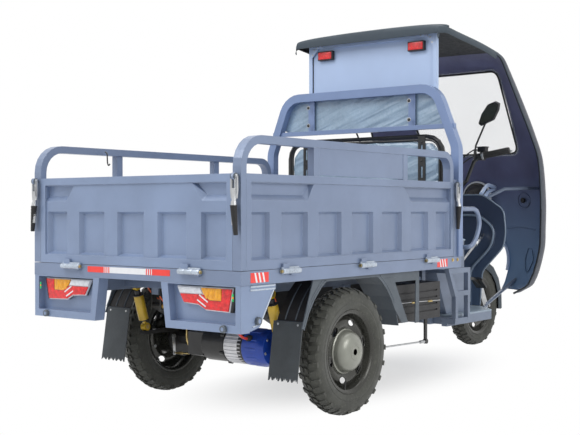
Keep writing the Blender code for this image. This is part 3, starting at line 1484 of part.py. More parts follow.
def make_instrument_pod():
    """The display on the steering head, on a bracket from the handlebar's clamp."""
    low = steering_point(STEERER_TOP + 0.034 + SEAT_GAP)
    base = [(-0.055, 2.310), (0.085, 2.310), (0.120, 2.350)]
    base += [(0.120, 2.430), (-0.075, 2.430), (-0.075, 2.350)]
    top = [(x * 0.8 + 0.004, 2.375 + (y - 2.375) * 0.75) for x, y in base]
    pieces = [
        loft(base, top, 1.062, 1.104, "Z"),
        rod(low, low + STEER_UP * 0.030, 0.020, 12),
        rod(low + STEER_UP * 0.018, (0, 2.350, 1.075), 0.012, 10),
    ]
    return finished(part("instrument_pod", pieces), *BLACK_PLASTIC)


# Cab


def make_guard_frame():
    """The tube frame in front of the bed with its cross bar and the straps of the upper back rest."""
    low = BED_TOP + SEAT_GAP
    x, shoulder = GUARD_SHOULDER
    corner_x, corner_z = GUARD_CORNER
    right = rounded([(x, low), (x, shoulder), (corner_x, corner_z), (0, GUARD_TOP_Z)], 0.11, 5)
    left = [(-point.x, point.y) for point in right[:-1]]
    path = [tuple(point) for point in right[:-1]] + left[::-1]
    rear, front = GUARD_Y
    pieces = [bent_bar(path, GUARD_TUBE, rear, front, "Y")]
    reach = x - 0.009
    pieces.append(box((-reach, reach), (rear + 0.010, front - 0.010), CROSS_BAR_Z))
    for side in (-1, 1):
        middle = side * STRAP_X
        x_limits = (middle - STRAP_WIDTH / 2, middle + STRAP_WIDTH / 2)
        pieces.append(box(x_limits, (front - 0.014, front - 0.008), (CROSS_BAR_Z[0] + 0.004, GUARD_TOP_Z)))
    return finished(part("guard_frame", pieces), *PAINT)


def pillow(x, y, z, thin):
    """A padded form in a box, from a coarse cage: it swells along its thin axis and draws in at its sides."""
    data = bmesh.new()
    bmesh.ops.create_cube(data, size=2.0)
    bmesh.ops.subdivide_edges(data, edges=data.edges, cuts=2, use_grid_fill=True)
    limits = (x, y, z)
    flat = [axis for axis in range(3) if axis != thin]
    for vertex in data.verts:
        place = vertex.co.copy()
        near = [1 - abs(place[axis]) for axis in flat]
        crown = 1 - CUSHION_FALL * (near[0] < 0.3) - CUSHION_FALL * (near[1] < 0.3)
        for axis, (low, high) in enumerate(limits):
            share = place[axis]
            if axis == thin:
                share *= crown
            else:
                other = flat[1] if axis == flat[0] else flat[0]
                share *= 1 - CUSHION_DRAW * (1 - place[other] ** 2)
            vertex.co[axis] = (low + high) / 2 + share * (high - low) / 2
    made = as_object(data)
    smooth = made.modifiers.new("padding", "SUBSURF")
    smooth.levels = 1
    smooth.render_levels = 1
    return settled(made)


def flat_backed(pad, rear):
    """The pad with its back pressed flat against what carries it."""
    for vertex in pad.data.vertices:
        vertex.co.y = max(vertex.co.y, rear)
    return pad


def make_upper_backrest():
    """The pad behind the straps: as wide as the guard frame's arch, and crowned towards the rider."""
    rear = GUARD_Y[1] + SEAT_GAP
    half, low, high = UPPER_PAD
    pad = pillow((-half, half), (rear - 0.016, rear + 0.052), (low, high), 1)
    for vertex in pad.data.vertices:
        rise = max(0.0, (vertex.co.z - low) / (high - low))
        vertex.co.x *= 1 - 0.16 * rise**2
    return finished(part("upper_backrest", [flat_backed(pad, rear)]), *FILM, 50)


def make_back_frame():
    """The black tube loop of the seat's back, with its two slotted strips."""
    half = BACK_TUBE_X
    low = SEAT_BOX_TOP + SEAT_GAP + flat_radius(BACK_TUBE_RADIUS, 6)
    corners = [(0, low), (half, low), (half, BACK_TUBE_TOP), (-half, BACK_TUBE_TOP), (-half, low), (0, low)]
    path = rounded([(x, BACK_TUBE_Y, z) for x, z in corners], 0.09, 4)[:-1]
    pieces = [tube(path, BACK_TUBE_RADIUS, 1, closed=True)]
    cuts = []
    for side in (-1, 1):
        x = sorted((side * (BACK_STRIP_X - 0.020), side * (BACK_STRIP_X + 0.020)))
        rear = BACK_TUBE_Y - BACK_TUBE_RADIUS - 0.0005
        pieces.append(box(x, (rear, rear + 0.004), (0.960, BACK_TUBE_TOP + 0.002)))
        for z in (1.000, 1.105):
            slot = (side * BACK_STRIP_X - 0.006, side * BACK_STRIP_X + 0.006)
            cuts.append(box(slot, (rear - 0.01, rear + 0.01), (z, z + 0.055)))
    return finished(part("seat_back_frame", pieces, cuts), *BLACK_STEEL)


def make_seat_backrest():
    """The padded back inside the tube loop."""
    half = BACK_TUBE_X - BACK_TUBE_RADIUS - 0.004
    rear = BACK_TUBE_Y - BACK_TUBE_RADIUS + 0.0042
    low, high = SEAT_PAD_LOW, BACK_TUBE_TOP - BACK_TUBE_RADIUS - 0.003
    pad = flat_backed(pillow((-half, half), (rear - 0.016, rear + 0.060), (low, high), 1), rear)
    return finished(part("seat_backrest", [pad]), *FILM, 50)


def make_partition():
    """The panel under the roof's rear edge, in its frame, with brackets from the guard frame."""
    rear, front = PARTITION_Y
    half, bar = PARTITION_HALF, PARTITION_BAR
    low, high = PARTITION_BOTTOM, PARTITION_TOP
    pieces = [
        box((-half, half), (rear, front), (high - bar, high)),
        box((-half, half), (rear, front), (low, low + bar)),
    ]
    for side in (-1, 1):
        x = sorted((side * (half - bar), side * half))
        pieces.append(box(x, (rear, front), (low + 0.001, high - 0.001)))
        arm = sorted((side * (half - bar + 0.001), side * (half - 0.001)))
        pieces.append(box(arm, (GUARD_Y[1] + SEAT_GAP, front - 0.002), (low + 0.004, low + bar - 0.001)))
        gusset = [(side * 0.322, high - bar + 0.002), (side * 0.369, high - bar + 0.002), (side * 0.369, 1.645)]
        pieces.append(prism(gusset, rear - 0.001, rear + 0.003, "Y"))
    middle = (rear + front) / 2
    pieces.append(box((-half + 0.005, half - 0.005), (middle, middle + 0.004), (low + 0.005, high - 0.005)))
    return finished(part("rear_partition", pieces), *PALE_PAINT)


def make_seat_box():
    """The open seat box with the side loops that the rider's thighs rest against."""
    rear, front = SEAT_BOX_Y
    low = FLOOR_Z + SEAT_GAP
    half = SEAT_BOX_X
    run, rise = SEAT_BOX_SLOPE
    outline = [(rear, SEAT_BOX_TOP), (front, SEAT_BOX_TOP), (front, low), (rear + run, low), (rear, low + rise)]
    pieces = [prism(outline, -half, half, "X")]
    back = (BACK_TUBE_Y - 0.015, rear + 0.002)
    for side in (-1, 1):
        x = sorted((side * 0.300, side * 0.360))
        pieces.append(box(x, back, (SEAT_BOX_TOP - 0.030, SEAT_BOX_TOP)))
        loop = [
            (side * (half - SHEET / 2), 1.700, 0.655),
            (side * 0.432, 1.700, 0.655),
            (side * 0.432, 1.700, 0.848),
            (side * 0.432, 2.010, 0.848),
            (side * 0.432, 2.048, 0.775),
            (side * 0.432, 2.000, 0.690),
            (side * 0.432, 1.945, 0.655),
            (side * (half - SHEET / 2), 1.945, 0.655),
        ]
        pieces.append(tube(rounded(loop, 0.040, 2), 0.011, 1))
    over = SEAT_BOX_TOP + 0.05
    hollow = [
        (rear + SHEET, over),
        (front - SHEET, over),
        (front - SHEET, low + SHEET),
        (rear + run + SHEET / 2, low + SHEET),
        (rear + SHEET, low + rise + SHEET / 2),
    ]
    inside = prism(hollow, -half + SHEET, half - SHEET, "X")
    return finished(part("seat_box", pieces, [inside]), *PAINT)


def make_seat_cushion():
    low = SEAT_BOX_TOP + SEAT_GAP
    base = box((-CUSHION_X + 0.01, CUSHION_X - 0.01), (CUSHION_Y[0] + 0.01, SEAT_HINGE_Y), (low, low + 0.012))
    pad = pillow((-CUSHION_X, CUSHION_X), CUSHION_Y, (low + 0.004, CUSHION_TOP), 2)
    return finished(part("seat_cushion", [base, pad]), *BLACK_PLASTIC, 50)


def make_floor_pan():
    """The floor sheet with its front lip, and the bracket with the pins of pedal and parking lever."""
    low = LOW_RAIL_TOP + SEAT_GAP
    rear, bend = FLOOR_REAR, LOW_RAIL_Y[1]
    right = [(0.435, rear), (0.435, bend), (0.300, FLOOR_FRONT)]
    outline = right + [(-x, y) for x, y in reversed(right)]
    sheet = prism(outline, low, FLOOR_Z, "Z")
    y, z = PEDAL_PIVOT
    park_y, park_z = PARK_PIVOT
    bracket = box(BRACKET_X, (park_y - 0.012, y + 0.012), (FLOOR_Z - 0.003, park_z + 0.012))
    middle = sum(BRACKET_X) / 2
    pedal_pin = rod((middle, y, z), (PEDAL_X + 0.013, y, z), 0.005, PIN_SIDES)
    park_pin = rod((middle, park_y, park_z), (PARK_X - 0.013, park_y, park_z), 0.005, PIN_SIDES)
    return finished(part("floor_pan", [sheet, bracket, pedal_pin, park_pin]), *PAINT)


def make_brake_pedal():
    y, z = PEDAL_PIVOT
    pad_y, pad_z = PEDAL_PAD
    pieces = [
        rod((PEDAL_X - 0.010, y, z), (PEDAL_X + 0.010, y, z), 0.012, 8),
        flat_bar((PEDAL_X, y + 0.004, z - 0.002), (PEDAL_X, 2.085, 0.486), 0.012, 0.014, (1, 0, 0)),
        flat_bar((PEDAL_X, 2.080, 0.488), (PEDAL_X, pad_y, pad_z - 0.006), 0.012, 0.014, (1, 0, 0)),
        flat_bar(
            (PEDAL_X, pad_y - 0.032, pad_z + 0.020),
            (PEDAL_X, pad_y + 0.022, pad_z - 0.022),
            0.060,
            0.012,
            (1, 0, 0),
        ),
    ]
    bore = rod((PEDAL_X - 0.02, y, z), (PEDAL_X + 0.02, y, z), 0.005 + PIN_GAP, PIN_SIDES)
    return finished(part("brake_pedal", pieces, [bore]), *BLACK_STEEL)


def make_parking_lever():
    y, z = PARK_PIVOT
    pivot = Vector((PARK_X, y, z))
    tip = Vector((PARK_X, *PARK_TIP))
    along = (tip - pivot).normalized()
    pieces = [
        rod((PARK_X - 0.010, y, z), (PARK_X + 0.010, y, z), 0.012, 8),
        rod(pivot + along * 0.008, tip - along * 0.02, 0.007, 8),
        rod(tip - along * 0.085, tip, 0.013, 10, 0.011),
    ]
    bore = rod((PARK_X - 0.02, y, z), (PARK_X + 0.02, y, z), 0.005 + PIN_GAP, PIN_SIDES)
    return finished(part("parking_lever", pieces, [bore]), *STEEL)


def make_brake_crank():
    """The brake's crank: a hub on the chassis pin and the arm that hangs below the floor's line."""
    y, z = CRANK_PIVOT
    end_y, end_z = CRANK_END
    pieces = [
        rod((CRANK_X - 0.013, y, z), (CRANK_X + 0.006, y, z), 0.016, 8),
        flat_bar((CRANK_X - 0.004, y, z - 0.006), (CRANK_X - 0.004, end_y, end_z), 0.010, 0.018, (1, 0, 0)),
        rod((CRANK_X - 0.012, end_y, end_z), (CRANK_X + 0.005, end_y, end_z), CRANK_BOSS, 8),
    ]
    bore = rod((CRANK_X - 0.03, y, z), (CRANK_X + 0.03, y, z), 0.006 + PIN_GAP, PIN_SIDES)
    return finished(part("brake_crank", pieces, [bore]), *BLACK_STEEL)


def make_brake_rod():
    """The pull rod from the crank's foot back to the right-hand brake's arm."""
    y, z = CRANK_END
    x = CRANK_X - 0.004
    start = (x, y - CRANK_BOSS - PIN_GAP, z)
    pieces = [
        rod(start, (x, *ROD_END), 0.004, 8),
        rod(start, (x, y - 0.050, z + 0.0007), 0.008, 8),
    ]
    return finished(part("brake_rod", pieces), *STEEL)


def make_leg_shield():
    """The shield before the rider's legs, with a raised inner contour."""
    right = SHIELD_OUTLINE
    outline = right + [(-x, z) for x, z in reversed(right[1:])]
    sheet = prism(outline, SHIELD_Y, SHIELD_Y + 0.004, "Y")
    bead_corners = [(0.0, 0.815), (0.300, 0.815), (0.392, 0.745), (0.375, 0.650), (0.245, 0.520)]
    bead_corners.append((0.245, FLOOR_Z + SEAT_GAP))
    bead = rounded(bead_corners, 0.045, 1)
    path = [tuple(point) for point in bead]
    left = [(-x, z) for x, z in path[1:]]
    ridge = bent_bar(left[::-1] + path, 0.014, SHIELD_Y - 0.010, SHIELD_Y + 0.001, "Y")
    return finished(part("leg_shield", [sheet, ridge]), *DARK_SHELL)


def fairing_row(station):
    """The points across one station, from the right rear edge round the nose to the left one."""
    edge_x, edge_y, edge_z, nose_y, nose_z = station
    right = []
    for step in range(FAIRING_COLUMNS + 1):
        turn = math.pi / 2 * step / FAIRING_COLUMNS
        across = math.cos(turn) ** (2 / FAIRING_POWER) if step < FAIRING_COLUMNS else 0.0
        ahead = math.sin(turn) ** (2 / FAIRING_POWER)
        right.append(
            (edge_x * across, edge_y + (nose_y - edge_y) * ahead, edge_z + (nose_z - edge_z) * ahead)
        )
    left = [(-x, y, z) for x, y, z in reversed(right[:-1])]
    return right + left


def window_outline(grow=0.0):
    """The windscreen's opening, with round corners, grown by this much all round."""
    (low_x, low_z), (high_x, high_z) = WINDOW_OUTLINE
    low_x, high_x = low_x + grow, high_x + grow
    low_z, high_z = low_z - grow, high_z + grow
    corners = [(0, low_z), (low_x, low_z), (high_x, high_z), (0, high_z)]
    right = rounded(corners, WINDOW_CORNER + grow, 2)
    right = [tuple(point) for point in right]
    return right[1:-1] + [(-x, z) for x, z in reversed(right[1:-1])]


def arch_outline():
    """The wheel arch through the fairing's lower edge."""
    corners = [(ARCH_HALF - 0.012, 0.30), (ARCH_HALF + 0.008, 0.56), (0.165, ARCH_TOP), (0, ARCH_TOP)]
    right = rounded(corners, 0.07, 2)
    right = [tuple(point) for point in right[:-1]]
    return right + [(-x, z) for x, z in reversed(right)]


def fairing_cutter():
    """The fairing's wall with its seating gap behind it, and the space outside it."""
    beyond = 0.080
    inside = FAIRING_WALL + SEAT_GAP
    wall = inside + beyond
    return shell([fairing_row(station) for station in FAIRING_STATIONS], wall, 2 * beyond / wall - 1)


def through_y(outline, low, high):
    """A cutter along Y through the fairing."""
    return loft(outline, outline, low, high, "Y")


def make_fairing():
    skin = shell([fairing_row(station) for station in FAIRING_STATIONS], FAIRING_WALL)
    cuts = [
        through_y(window_outline(), 2.32, 3.10),
        through_y(arch_outline(), 2.50, 3.10),
        rod((0, 2.60, LAMP_CENTRE_Z), (0, 3.10, LAMP_CENTRE_Z), LAMP_BORE, 16),
    ]
    return finished(part("front_fairing", [skin], cuts), *DARK_SHELL, 50)


def make_windscreen():
    """The glass, laid against the inside of the fairing and lapping its opening."""
    behind = SEAT_GAP + FAIRING_WALL
    glass = 0.004
    offset = 1 - 2 * (behind + glass) / glass
    rows = [fairing_row(station) for station in FAIRING_STATIONS]
    sheet = shell(rows, glass, offset)
    keep = through_y(window_outline(WINDOW_LAP), FAIRING_STATIONS[-1][1], FAIRING_STATIONS[4][3] + 0.20)
    return finished(combined_keep("windscreen", sheet, keep), *GLASS, 50)


def combined_keep(name, first, second):
    """What two solids share, as a named part."""
    made = combined(first, [second], "INTERSECT")
    made.name = name
    made.data.name = name
    return made


def make_headlight():
    """The round lamp through the fairing's nose: bowl, bezel and lens."""
    profile = [
        (0, 2.905),
        (0.060, 2.892),
        (LAMP_BORE - 0.0005, 2.868),
        (LAMP_BORE - 0.0005, 2.846),
        (0.090, 2.846),
        (0.090, 2.834),
        (0.074, 2.830),
        (0.036, 2.766),
        (0, 2.762),
    ]
    lamp = turned([(r, along) for r, along in profile], (0, 0, LAMP_CENTRE_Z), "Y", 16)
    return finished(part("headlight", [lamp]), *GLASS, 50)


def roof_row(station):
    """One station of the roof, like the fairing's, with the rim that hangs at either side."""
    half, y, edge = station[:3]
    drop, middle = ROOF_RIM * 0.75, ROOF_RIM * 0.35
    row = fairing_row(station)
    right = [(half + 0.001, y, edge - drop), (half + 0.003, y, edge - middle)]
    left = [(-x, y, z) for x, y, z in reversed(right)]
    return right + row + left


def make_roof():
    edge_x, edge_y, edge_z, nose_y, nose_z = FAIRING_STATIONS[-1]
    front = (edge_x, edge_y - ROOF_GAP, edge_z, nose_y - ROOF_GAP, nose_z)
    rows = [roof_row(station) for station in [front] + ROOF_STATIONS]
    half, y, edge, nose_y, crown = ROOF_STATIONS[-1]
    rear = rows[-1]
    rows.append([(x * 0.992, y - 0.010, z - 0.012 - 0.3 * (z - edge)) for x, y, z in rear])
    hem = edge - ROOF_RIM * 0.75
    rows.append([(x * 0.990, y - 0.006, min(z - ROOF_RIM * 0.75, hem)) for x, y, z in rear])
    skin = shell([row[::-1] for row in rows], ROOF_WALL)
    return finished(part("cab_roof", [skin]), *DARK_SHELL, 50)


# Assembly


def pivot(name, place, parent=None):
    """An empty on a joint's axis, which carries what turns or slides there."""
    empty = bpy.data.objects.new(name, None)
    empty.empty_display_size = 0.05
    empty.location = Vector(place) - (parent.location if parent else Vector())
    PARTS.objects.link(empty)
    if parent:
        empty.parent = parent
    return empty


def carry(parent, *things):
    """Hangs the parts on the empty, and puts each part's origin there."""
    bpy.context.view_layer.update()
    place = parent.matrix_world.translation
    for thing in things:
        thing.data.transform(Matrix.Translation(-place))
        thing.parent = parent


def evaluated_bounds():
    bpy.context.view_layer.update()
    low, high = Vector((9, 9, 9)), Vector((-9, -9, -9))
    for thing in PARTS.objects:
        if thing.type != "MESH":
            continue
        for vertex in thing.data.vertices:
            place = thing.matrix_world @ vertex.co
            low = Vector(map(min, low, place))
            high = Vector(map(max, high, place))
    return low, high


def stand_up(stance):
    """Turns the model onto its wheels and puts the origin at the bottom centre of its bounding box."""
    turn = Matrix.Rotation(-nose_down(), 4, "X")
    axle = Matrix.Translation((0, *REAR_AXLE))
    stance.matrix_world = axle @ turn @ axle.inverted()
    low, high = evaluated_bounds()
    middle = (low + high) / 2
    stance.matrix_world = Matrix.Translation((-middle.x, -middle.y, -low.z)) @ stance.matrix_world


def main():
    stance = pivot("stance", (0, 0, 0))
    tailgate = make_tailgate()
    board_right = finished(make_side_board("side_board_right", True), *PAINT)
    board_left = finished(moved(make_side_board("side_board_left", False), MIRROR_X), *PAINT)
    half = BED_WIDTH / 2
    post = half - HOOP_WIDTH / 2
    corner = sum(CORNER_POST_Y) / 2
    latches = {}
    for side, word in ((1, "right"), (-1, "left")):
        rear = ((side * post, 0, LATCH_Z), (0, -1, 0), (1, 0, 0))
        front = ((side * half, corner, LATCH_Z), (side, 0, 0), (0, 1, 0))
        latches["rear_" + word] = (make_latch("latch_lever_rear_" + word, *rear), rear)
        latches["front_" + word] = (make_latch("latch_lever_front_" + word, *front), front)
    apron = make_rear_apron()
    lamp = make_tail_lamp()
    spring = make_leaf_spring()
    shock = make_shock()
    fender = make_fender()
    flap = make_mud_flap()
    wheel = make_rear_wheel()
    tyre = make_tyre("rear_tyre_right", REAR_RADIUS, REAR_TYRE_HALF, (HALF_TRACK, *REAR_AXLE))
    fixed = [
        make_chassis(),
        make_bed(),
        make_front_board(),
        apron,
        finished(left_copy(apron, "rear_apron_left"), *PAINT),
        lamp,
        finished(left_copy(lamp, "tail_lamp_left"), *RED_LENS),
        make_guard_frame(),
        make_upper_backrest(),
        make_back_frame(),
        make_seat_backrest(),
        make_partition(),
        make_roof(),
        make_fairing(),
        make_windscreen(),
        make_headlight(),
        make_leg_shield(),
        make_floor_pan(),
        make_seat_box(),
        make_battery_box(),
        fender,
        finished(left_copy(fender, "fender_left"), *BLACK_PLASTIC),
        flap,
        finished(left_copy(flap, "mud_flap_left"), *RUBBER),
        spring,
        finished(left_copy(spring, "leaf_spring_left"), *BLACK_STEEL),
        shock,
        finished(left_copy(shock, "shock_absorber_left"), *YELLOW),
        make_axle(),
        make_motor(),
        make_motor_cable(),
    ]
    carry(stance, *fixed)
    carry(pivot("tailgate_pivot", (0, -HINGE_OUT, HINGE_Z), stance), tailgate)
    for side, board, word in ((1, board_right, "right"), (-1, board_left, "left")):
        axis = pivot("side_board_pivot_" + word, (side * (half + HINGE_OUT), 0, HINGE_Z), stance)
        carry(axis, board)
        for end, holder in (("rear_", axis), ("front_", stance)):
            lever, (root, outward, across) = latches[end + word]
            place = Vector(root) + Vector(outward) * LATCH_OUT
            empty = bpy.data.objects.new("latch_pivot_" + end + word, None)
            PARTS.objects.link(empty)
            empty.location = place - holder.matrix_world.translation
            empty.parent = holder
            carry(empty, lever)
        axle = pivot("rear_wheel_pivot_" + word, (side * HALF_TRACK, *REAR_AXLE), stance)
        if side > 0:
            carry(axle, wheel, tyre)
        else:
            copies = wheel_copies(wheel, tyre)
            carry(axle, *copies)
    carry(pivot("seat_pivot", (0, SEAT_HINGE_Y, SEAT_BOX_TOP + SEAT_GAP), stance), make_seat_cushion())
    carry(pivot("pedal_pivot", (PEDAL_X, *PEDAL_PIVOT), stance), make_brake_pedal())
    carry(pivot("parking_pivot", (PARK_X, *PARK_PIVOT), stance), make_parking_lever())
    carry(pivot("crank_pivot", (CRANK_X, *CRANK_PIVOT), stance), make_brake_crank())
    carry(pivot("brake_rod_slide", (CRANK_X, *CRANK_END), stance), make_brake_rod())
    assemble_steering(stance)
    stand_up(stance)


def wheel_copies(wheel, tyre):
    """The left-hand wheel and tyre: the right-hand ones mirrored in their own frame."""
    made = []
    for source, name, look in ((wheel, "rear_wheel_left", STEEL), (tyre, "rear_tyre_left", RUBBER)):
        copy = left_copy(source, name)
        copy.data.transform(Matrix.Translation((-HALF_TRACK, *REAR_AXLE)))
        made.append(finished(copy, *look, 35))
    return made


def assemble_steering(stance):
    """The steering head and everything that turns with it."""
    head = pivot("steering_pivot", steering_point(HEAD_SPAN[0]), stance)
    handlebar = make_handlebar()
    lever = make_brake_lever()
    mirror = make_mirror()
    left_lever = finished(left_copy(lever, "brake_lever_left"), *STEEL, 40)
    left_mirror = finished(left_copy(mirror, "mirror_left"), *BLACK_PLASTIC)
    carry(head, make_fork(), handlebar, make_instrument_pod())
    slide = pivot("fork_slide", steering_point(0, FORK_OFFSET), None)
    slide.location -= head.location
    slide.parent = head
    carry(slide, make_sliders(), make_front_mudguard())
    axle = pivot("front_wheel_pivot", (0, 0, 0), None)
    axle.parent = slide
    centre = (0, *FRONT_AXLE)
    carry(axle, make_front_wheel(), make_tyre("front_tyre", FRONT_RADIUS, FRONT_TYRE_HALF, centre))
    small = [
        ("throttle_pivot", on_grip(GRIP_START), make_throttle()),
        ("lever_pivot_right", lever_pivot(1), lever),
        ("lever_pivot_left", lever_pivot(-1), left_lever),
        ("mirror_pivot_right", (MIRROR_BASE[0], MIRROR_BASE[1], BAR_KNEE[2]), mirror),
        ("mirror_pivot_left", (-MIRROR_BASE[0], MIRROR_BASE[1], BAR_KNEE[2]), left_mirror),
        ("horn_slide", HORN_FACE, make_horn_button()),
    ]
    for name, place, thing in small:
        empty = pivot(name, Vector(place) - head.location)
        empty.parent = head
        carry(empty, thing)


main()
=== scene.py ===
"""The looks of the cargo tricycle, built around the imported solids.

Pieces are written in the vehicle's own level frame: x to the right, y forward from the bed's rear face,
z up from the ground. STANCE turns that frame into the row's frame, where the vehicle stands on its wheels.
What is alike on both sides is made on the right and then mirrored.
"""

import math

import bmesh
import bpy
from mathutils import Matrix, Vector, noise


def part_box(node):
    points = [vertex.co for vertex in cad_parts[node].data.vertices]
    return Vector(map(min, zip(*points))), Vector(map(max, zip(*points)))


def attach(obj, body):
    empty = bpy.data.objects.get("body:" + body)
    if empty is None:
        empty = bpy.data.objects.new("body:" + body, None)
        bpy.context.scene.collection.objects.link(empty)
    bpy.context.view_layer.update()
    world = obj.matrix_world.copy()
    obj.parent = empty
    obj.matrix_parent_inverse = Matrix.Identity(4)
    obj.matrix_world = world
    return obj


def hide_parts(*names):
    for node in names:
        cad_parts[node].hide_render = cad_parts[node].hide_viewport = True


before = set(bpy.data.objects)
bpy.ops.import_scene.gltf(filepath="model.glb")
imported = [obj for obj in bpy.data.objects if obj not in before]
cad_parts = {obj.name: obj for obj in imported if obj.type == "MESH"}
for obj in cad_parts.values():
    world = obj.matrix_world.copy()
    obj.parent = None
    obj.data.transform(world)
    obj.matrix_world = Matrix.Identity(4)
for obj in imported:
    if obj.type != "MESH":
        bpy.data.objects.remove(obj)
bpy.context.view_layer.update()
STANCE = Matrix.Translation((0, -1.524681, 0.011878)) @ Matrix.Rotation(math.radians(-1.1647526), 4, "X")
SIDES = ((1, "right"), (-1, "left"))
scene = bpy.context.scene


# Nodes and places


def linked(thing):
    scene.collection.objects.link(thing)
    return thing


def given(tree, socket, value):
    """Set the socket to a number, vector or colour, or link it to another socket."""
    if isinstance(value, bpy.types.NodeSocket):
        tree.links.new(value, socket)
    elif socket.type == "RGBA":
        socket.default_value = (*value, 1)
    else:
        socket.default_value = value


def added(tree, kind, inputs=(), **facts):
    """A new shader node of that kind, with its facts and inputs set."""
    node = tree.nodes.new("ShaderNode" + kind)
    for name, value in facts.items():
        setattr(node, name, value)
    for key, value in dict(inputs).items():
        given(tree, node.inputs[key], value)
    return node


def ranged(tree, value, low, high, start=0.0, end=1.0, **facts):
    """The value's span from start to end, laid out from low to high."""
    spans = {"Value": value, "From Min": start, "From Max": end, "To Min": low, "To Max": high}
    return added(tree, "MapRange", spans, **facts).outputs["Result"]


def mixed(tree, factor, first, second):
    """The first colour, and the second where the factor is 1."""
    return added(tree, "Mix", {0: factor, 6: first, 7: second}, data_type="RGBA").outputs[2]


def crossed(tree, factor, first, second):
    """The first shader, and the second where the factor is 1."""
    return added(tree, "MixShader", {0: factor, 1: first.outputs[0], 2: second.outputs[0]}).outputs[0]


def turns(count, start=0.0):
    """Evenly spaced angles round a circle."""
    return [start + 2 * math.pi * k / count for k in range(count)]


def around(centre, radius, turn):
    """The place at that radius and angle about a centre in the plane."""
    return centre[0] + radius * math.cos(turn), centre[1] + radius * math.sin(turn)


# Camera, light and floor


def place_camera():
    """The photograph's camera, fitted to its wheels, bed and roof."""
    data = bpy.data.cameras.new("camera")
    data.lens = 65.57
    data.sensor_width = 36
    data.clip_end = 60
    camera = linked(bpy.data.objects.new("camera", data))
    turn = Matrix.Rotation(math.radians(37.685), 4, "Z") @ Matrix.Rotation(math.radians(89.606), 4, "X")
    camera.matrix_world = STANCE @ Matrix.Translation((2.97317, -2.83688, 0.84199)) @ turn
    scene.camera = camera


def add_light(name, place, aim, size, power):
    data = bpy.data.lights.new(name, "AREA")
    data.shape = "RECTANGLE"
    data.size, data.size_y = size
    data.energy = power
    lamp = linked(bpy.data.objects.new(name, data))
    toward = (Vector(aim) - Vector(place)).to_track_quat("-Z", "Y")
    lamp.matrix_world = Matrix.Translation(place) @ toward.to_matrix().to_4x4()


def bare_rays(tree):
    """1 on rays from the camera, from gloss and through glass."""
    path = added(tree, "LightPath")
    total = path.outputs["Is Camera Ray"]
    for kind in ("Is Glossy Ray", "Is Transmission Ray"):
        total = added(tree, "Math", {0: total, 1: path.outputs[kind]}, operation="MAXIMUM").outputs[0]
    return total


def light_world():
    world = bpy.data.worlds.new("studio")
    scene.world = world
    world.use_nodes = True
    tree = world.node_tree
    ambient = tree.nodes["Background"]
    given(tree, ambient.inputs["Color"], (0.93, 0.96, 1.0))
    given(tree, ambient.inputs["Strength"], 0.50)
    white = added(tree, "Background", {"Color": (1, 1, 1)})
    given(tree, tree.nodes["World Output"].inputs["Surface"], crossed(tree, bare_rays(tree), ambient, white))
    add_light("key", (-1.2, -3.6, 4.6), (0, 0, 0.6), (3.2, 3.2), 150)
    add_light("side", (4.8, -0.8, 2.6), (0, 0, 0.7), (3.0, 2.4), 85)
    add_light("top", (0.2, 0.6, 5.2), (0, 0, 0.5), (4.0, 4.5), 120)
    add_light("front", (-2.0, 5.0, 2.4), (0, 0.4, 0.8), (3.0, 2.4), 45)


def lay_floor():
    """White paper that keeps the shadow near the vehicle and is plain white away from it."""
    bm = bmesh.new()
    bmesh.ops.create_circle(bm, cap_ends=True, radius=16, segments=96)
    data = bpy.data.meshes.new("floor")
    bm.to_mesh(data)
    paper = bpy.data.materials.new("floor_paper")
    paper.use_nodes = True
    tree = paper.node_tree
    matt = tree.nodes["Principled BSDF"]
    given(tree, matt.inputs["Base Color"], (0.92, 0.92, 0.92))
    given(tree, matt.inputs["Roughness"], 0.9)
    given(tree, matt.inputs["Specular IOR Level"], 0.0)
    place = added(tree, "TexCoord").outputs["Object"]
    oval_place = added(tree, "VectorMath", {0: place, 1: (1.9, 1.0, 1.0)}, operation="MULTIPLY").outputs[0]
    away = added(tree, "VectorMath", {0: oval_place}, operation="LENGTH").outputs["Value"]
    share = ranged(tree, away, 0.60, 1.0, 0.35, 1.25, interpolation_type="SMOOTHSTEP")
    seen = added(tree, "Math", {0: share, 1: bare_rays(tree)}, operation="MULTIPLY").outputs[0]
    paper_white = crossed(tree, seen, matt, added(tree, "Emission"))
    given(tree, tree.nodes["Material Output"].inputs["Surface"], paper_white)
    data.materials.append(paper)
    linked(bpy.data.objects.new("floor", data))


scene.view_settings.view_transform = "Standard"
place_camera()
light_world()
lay_floor()


# Materials


def noisy(tree, coords, scale, detail):
    """A noise texture on the piece's own coordinates."""
    return added(tree, "TexNoise", {"Scale": scale, "Detail": detail, "Vector": coords}).outputs["Fac"]


def facing_out(tree, coords, centre):
    """1 on faces that look away from the centre, 0 on those that look toward it."""
    away = added(tree, "VectorMath", {0: coords, 1: centre}, operation="SUBTRACT").outputs[0]
    face = added(tree, "NewGeometry").outputs["True Normal"]
    dot = added(tree, "VectorMath", {0: away, 1: face}, operation="DOT_PRODUCT").outputs["Value"]
    return ranged(tree, dot, 0, 1, -0.01, 0.01)


def folded(tree, coords, normal, folds):
    """The normal with long soft folds: their scale, height, stretch along the axes, and slant in degrees."""
    scale, tall, along, slant = folds
    place = {"Vector": coords, "Rotation": (0, math.radians(slant), 0), "Scale": along}
    slanted = added(tree, "Mapping", vector_type="TEXTURE")
    for key, value in place.items():
        given(tree, slanted.inputs[key], value)
    height = noisy(tree, slanted.outputs["Vector"], scale, 2)
    fold = {"Height": height, "Normal": normal, "Strength": 0.9, "Distance": tall}
    return added(tree, "Bump", fold).outputs["Normal"]


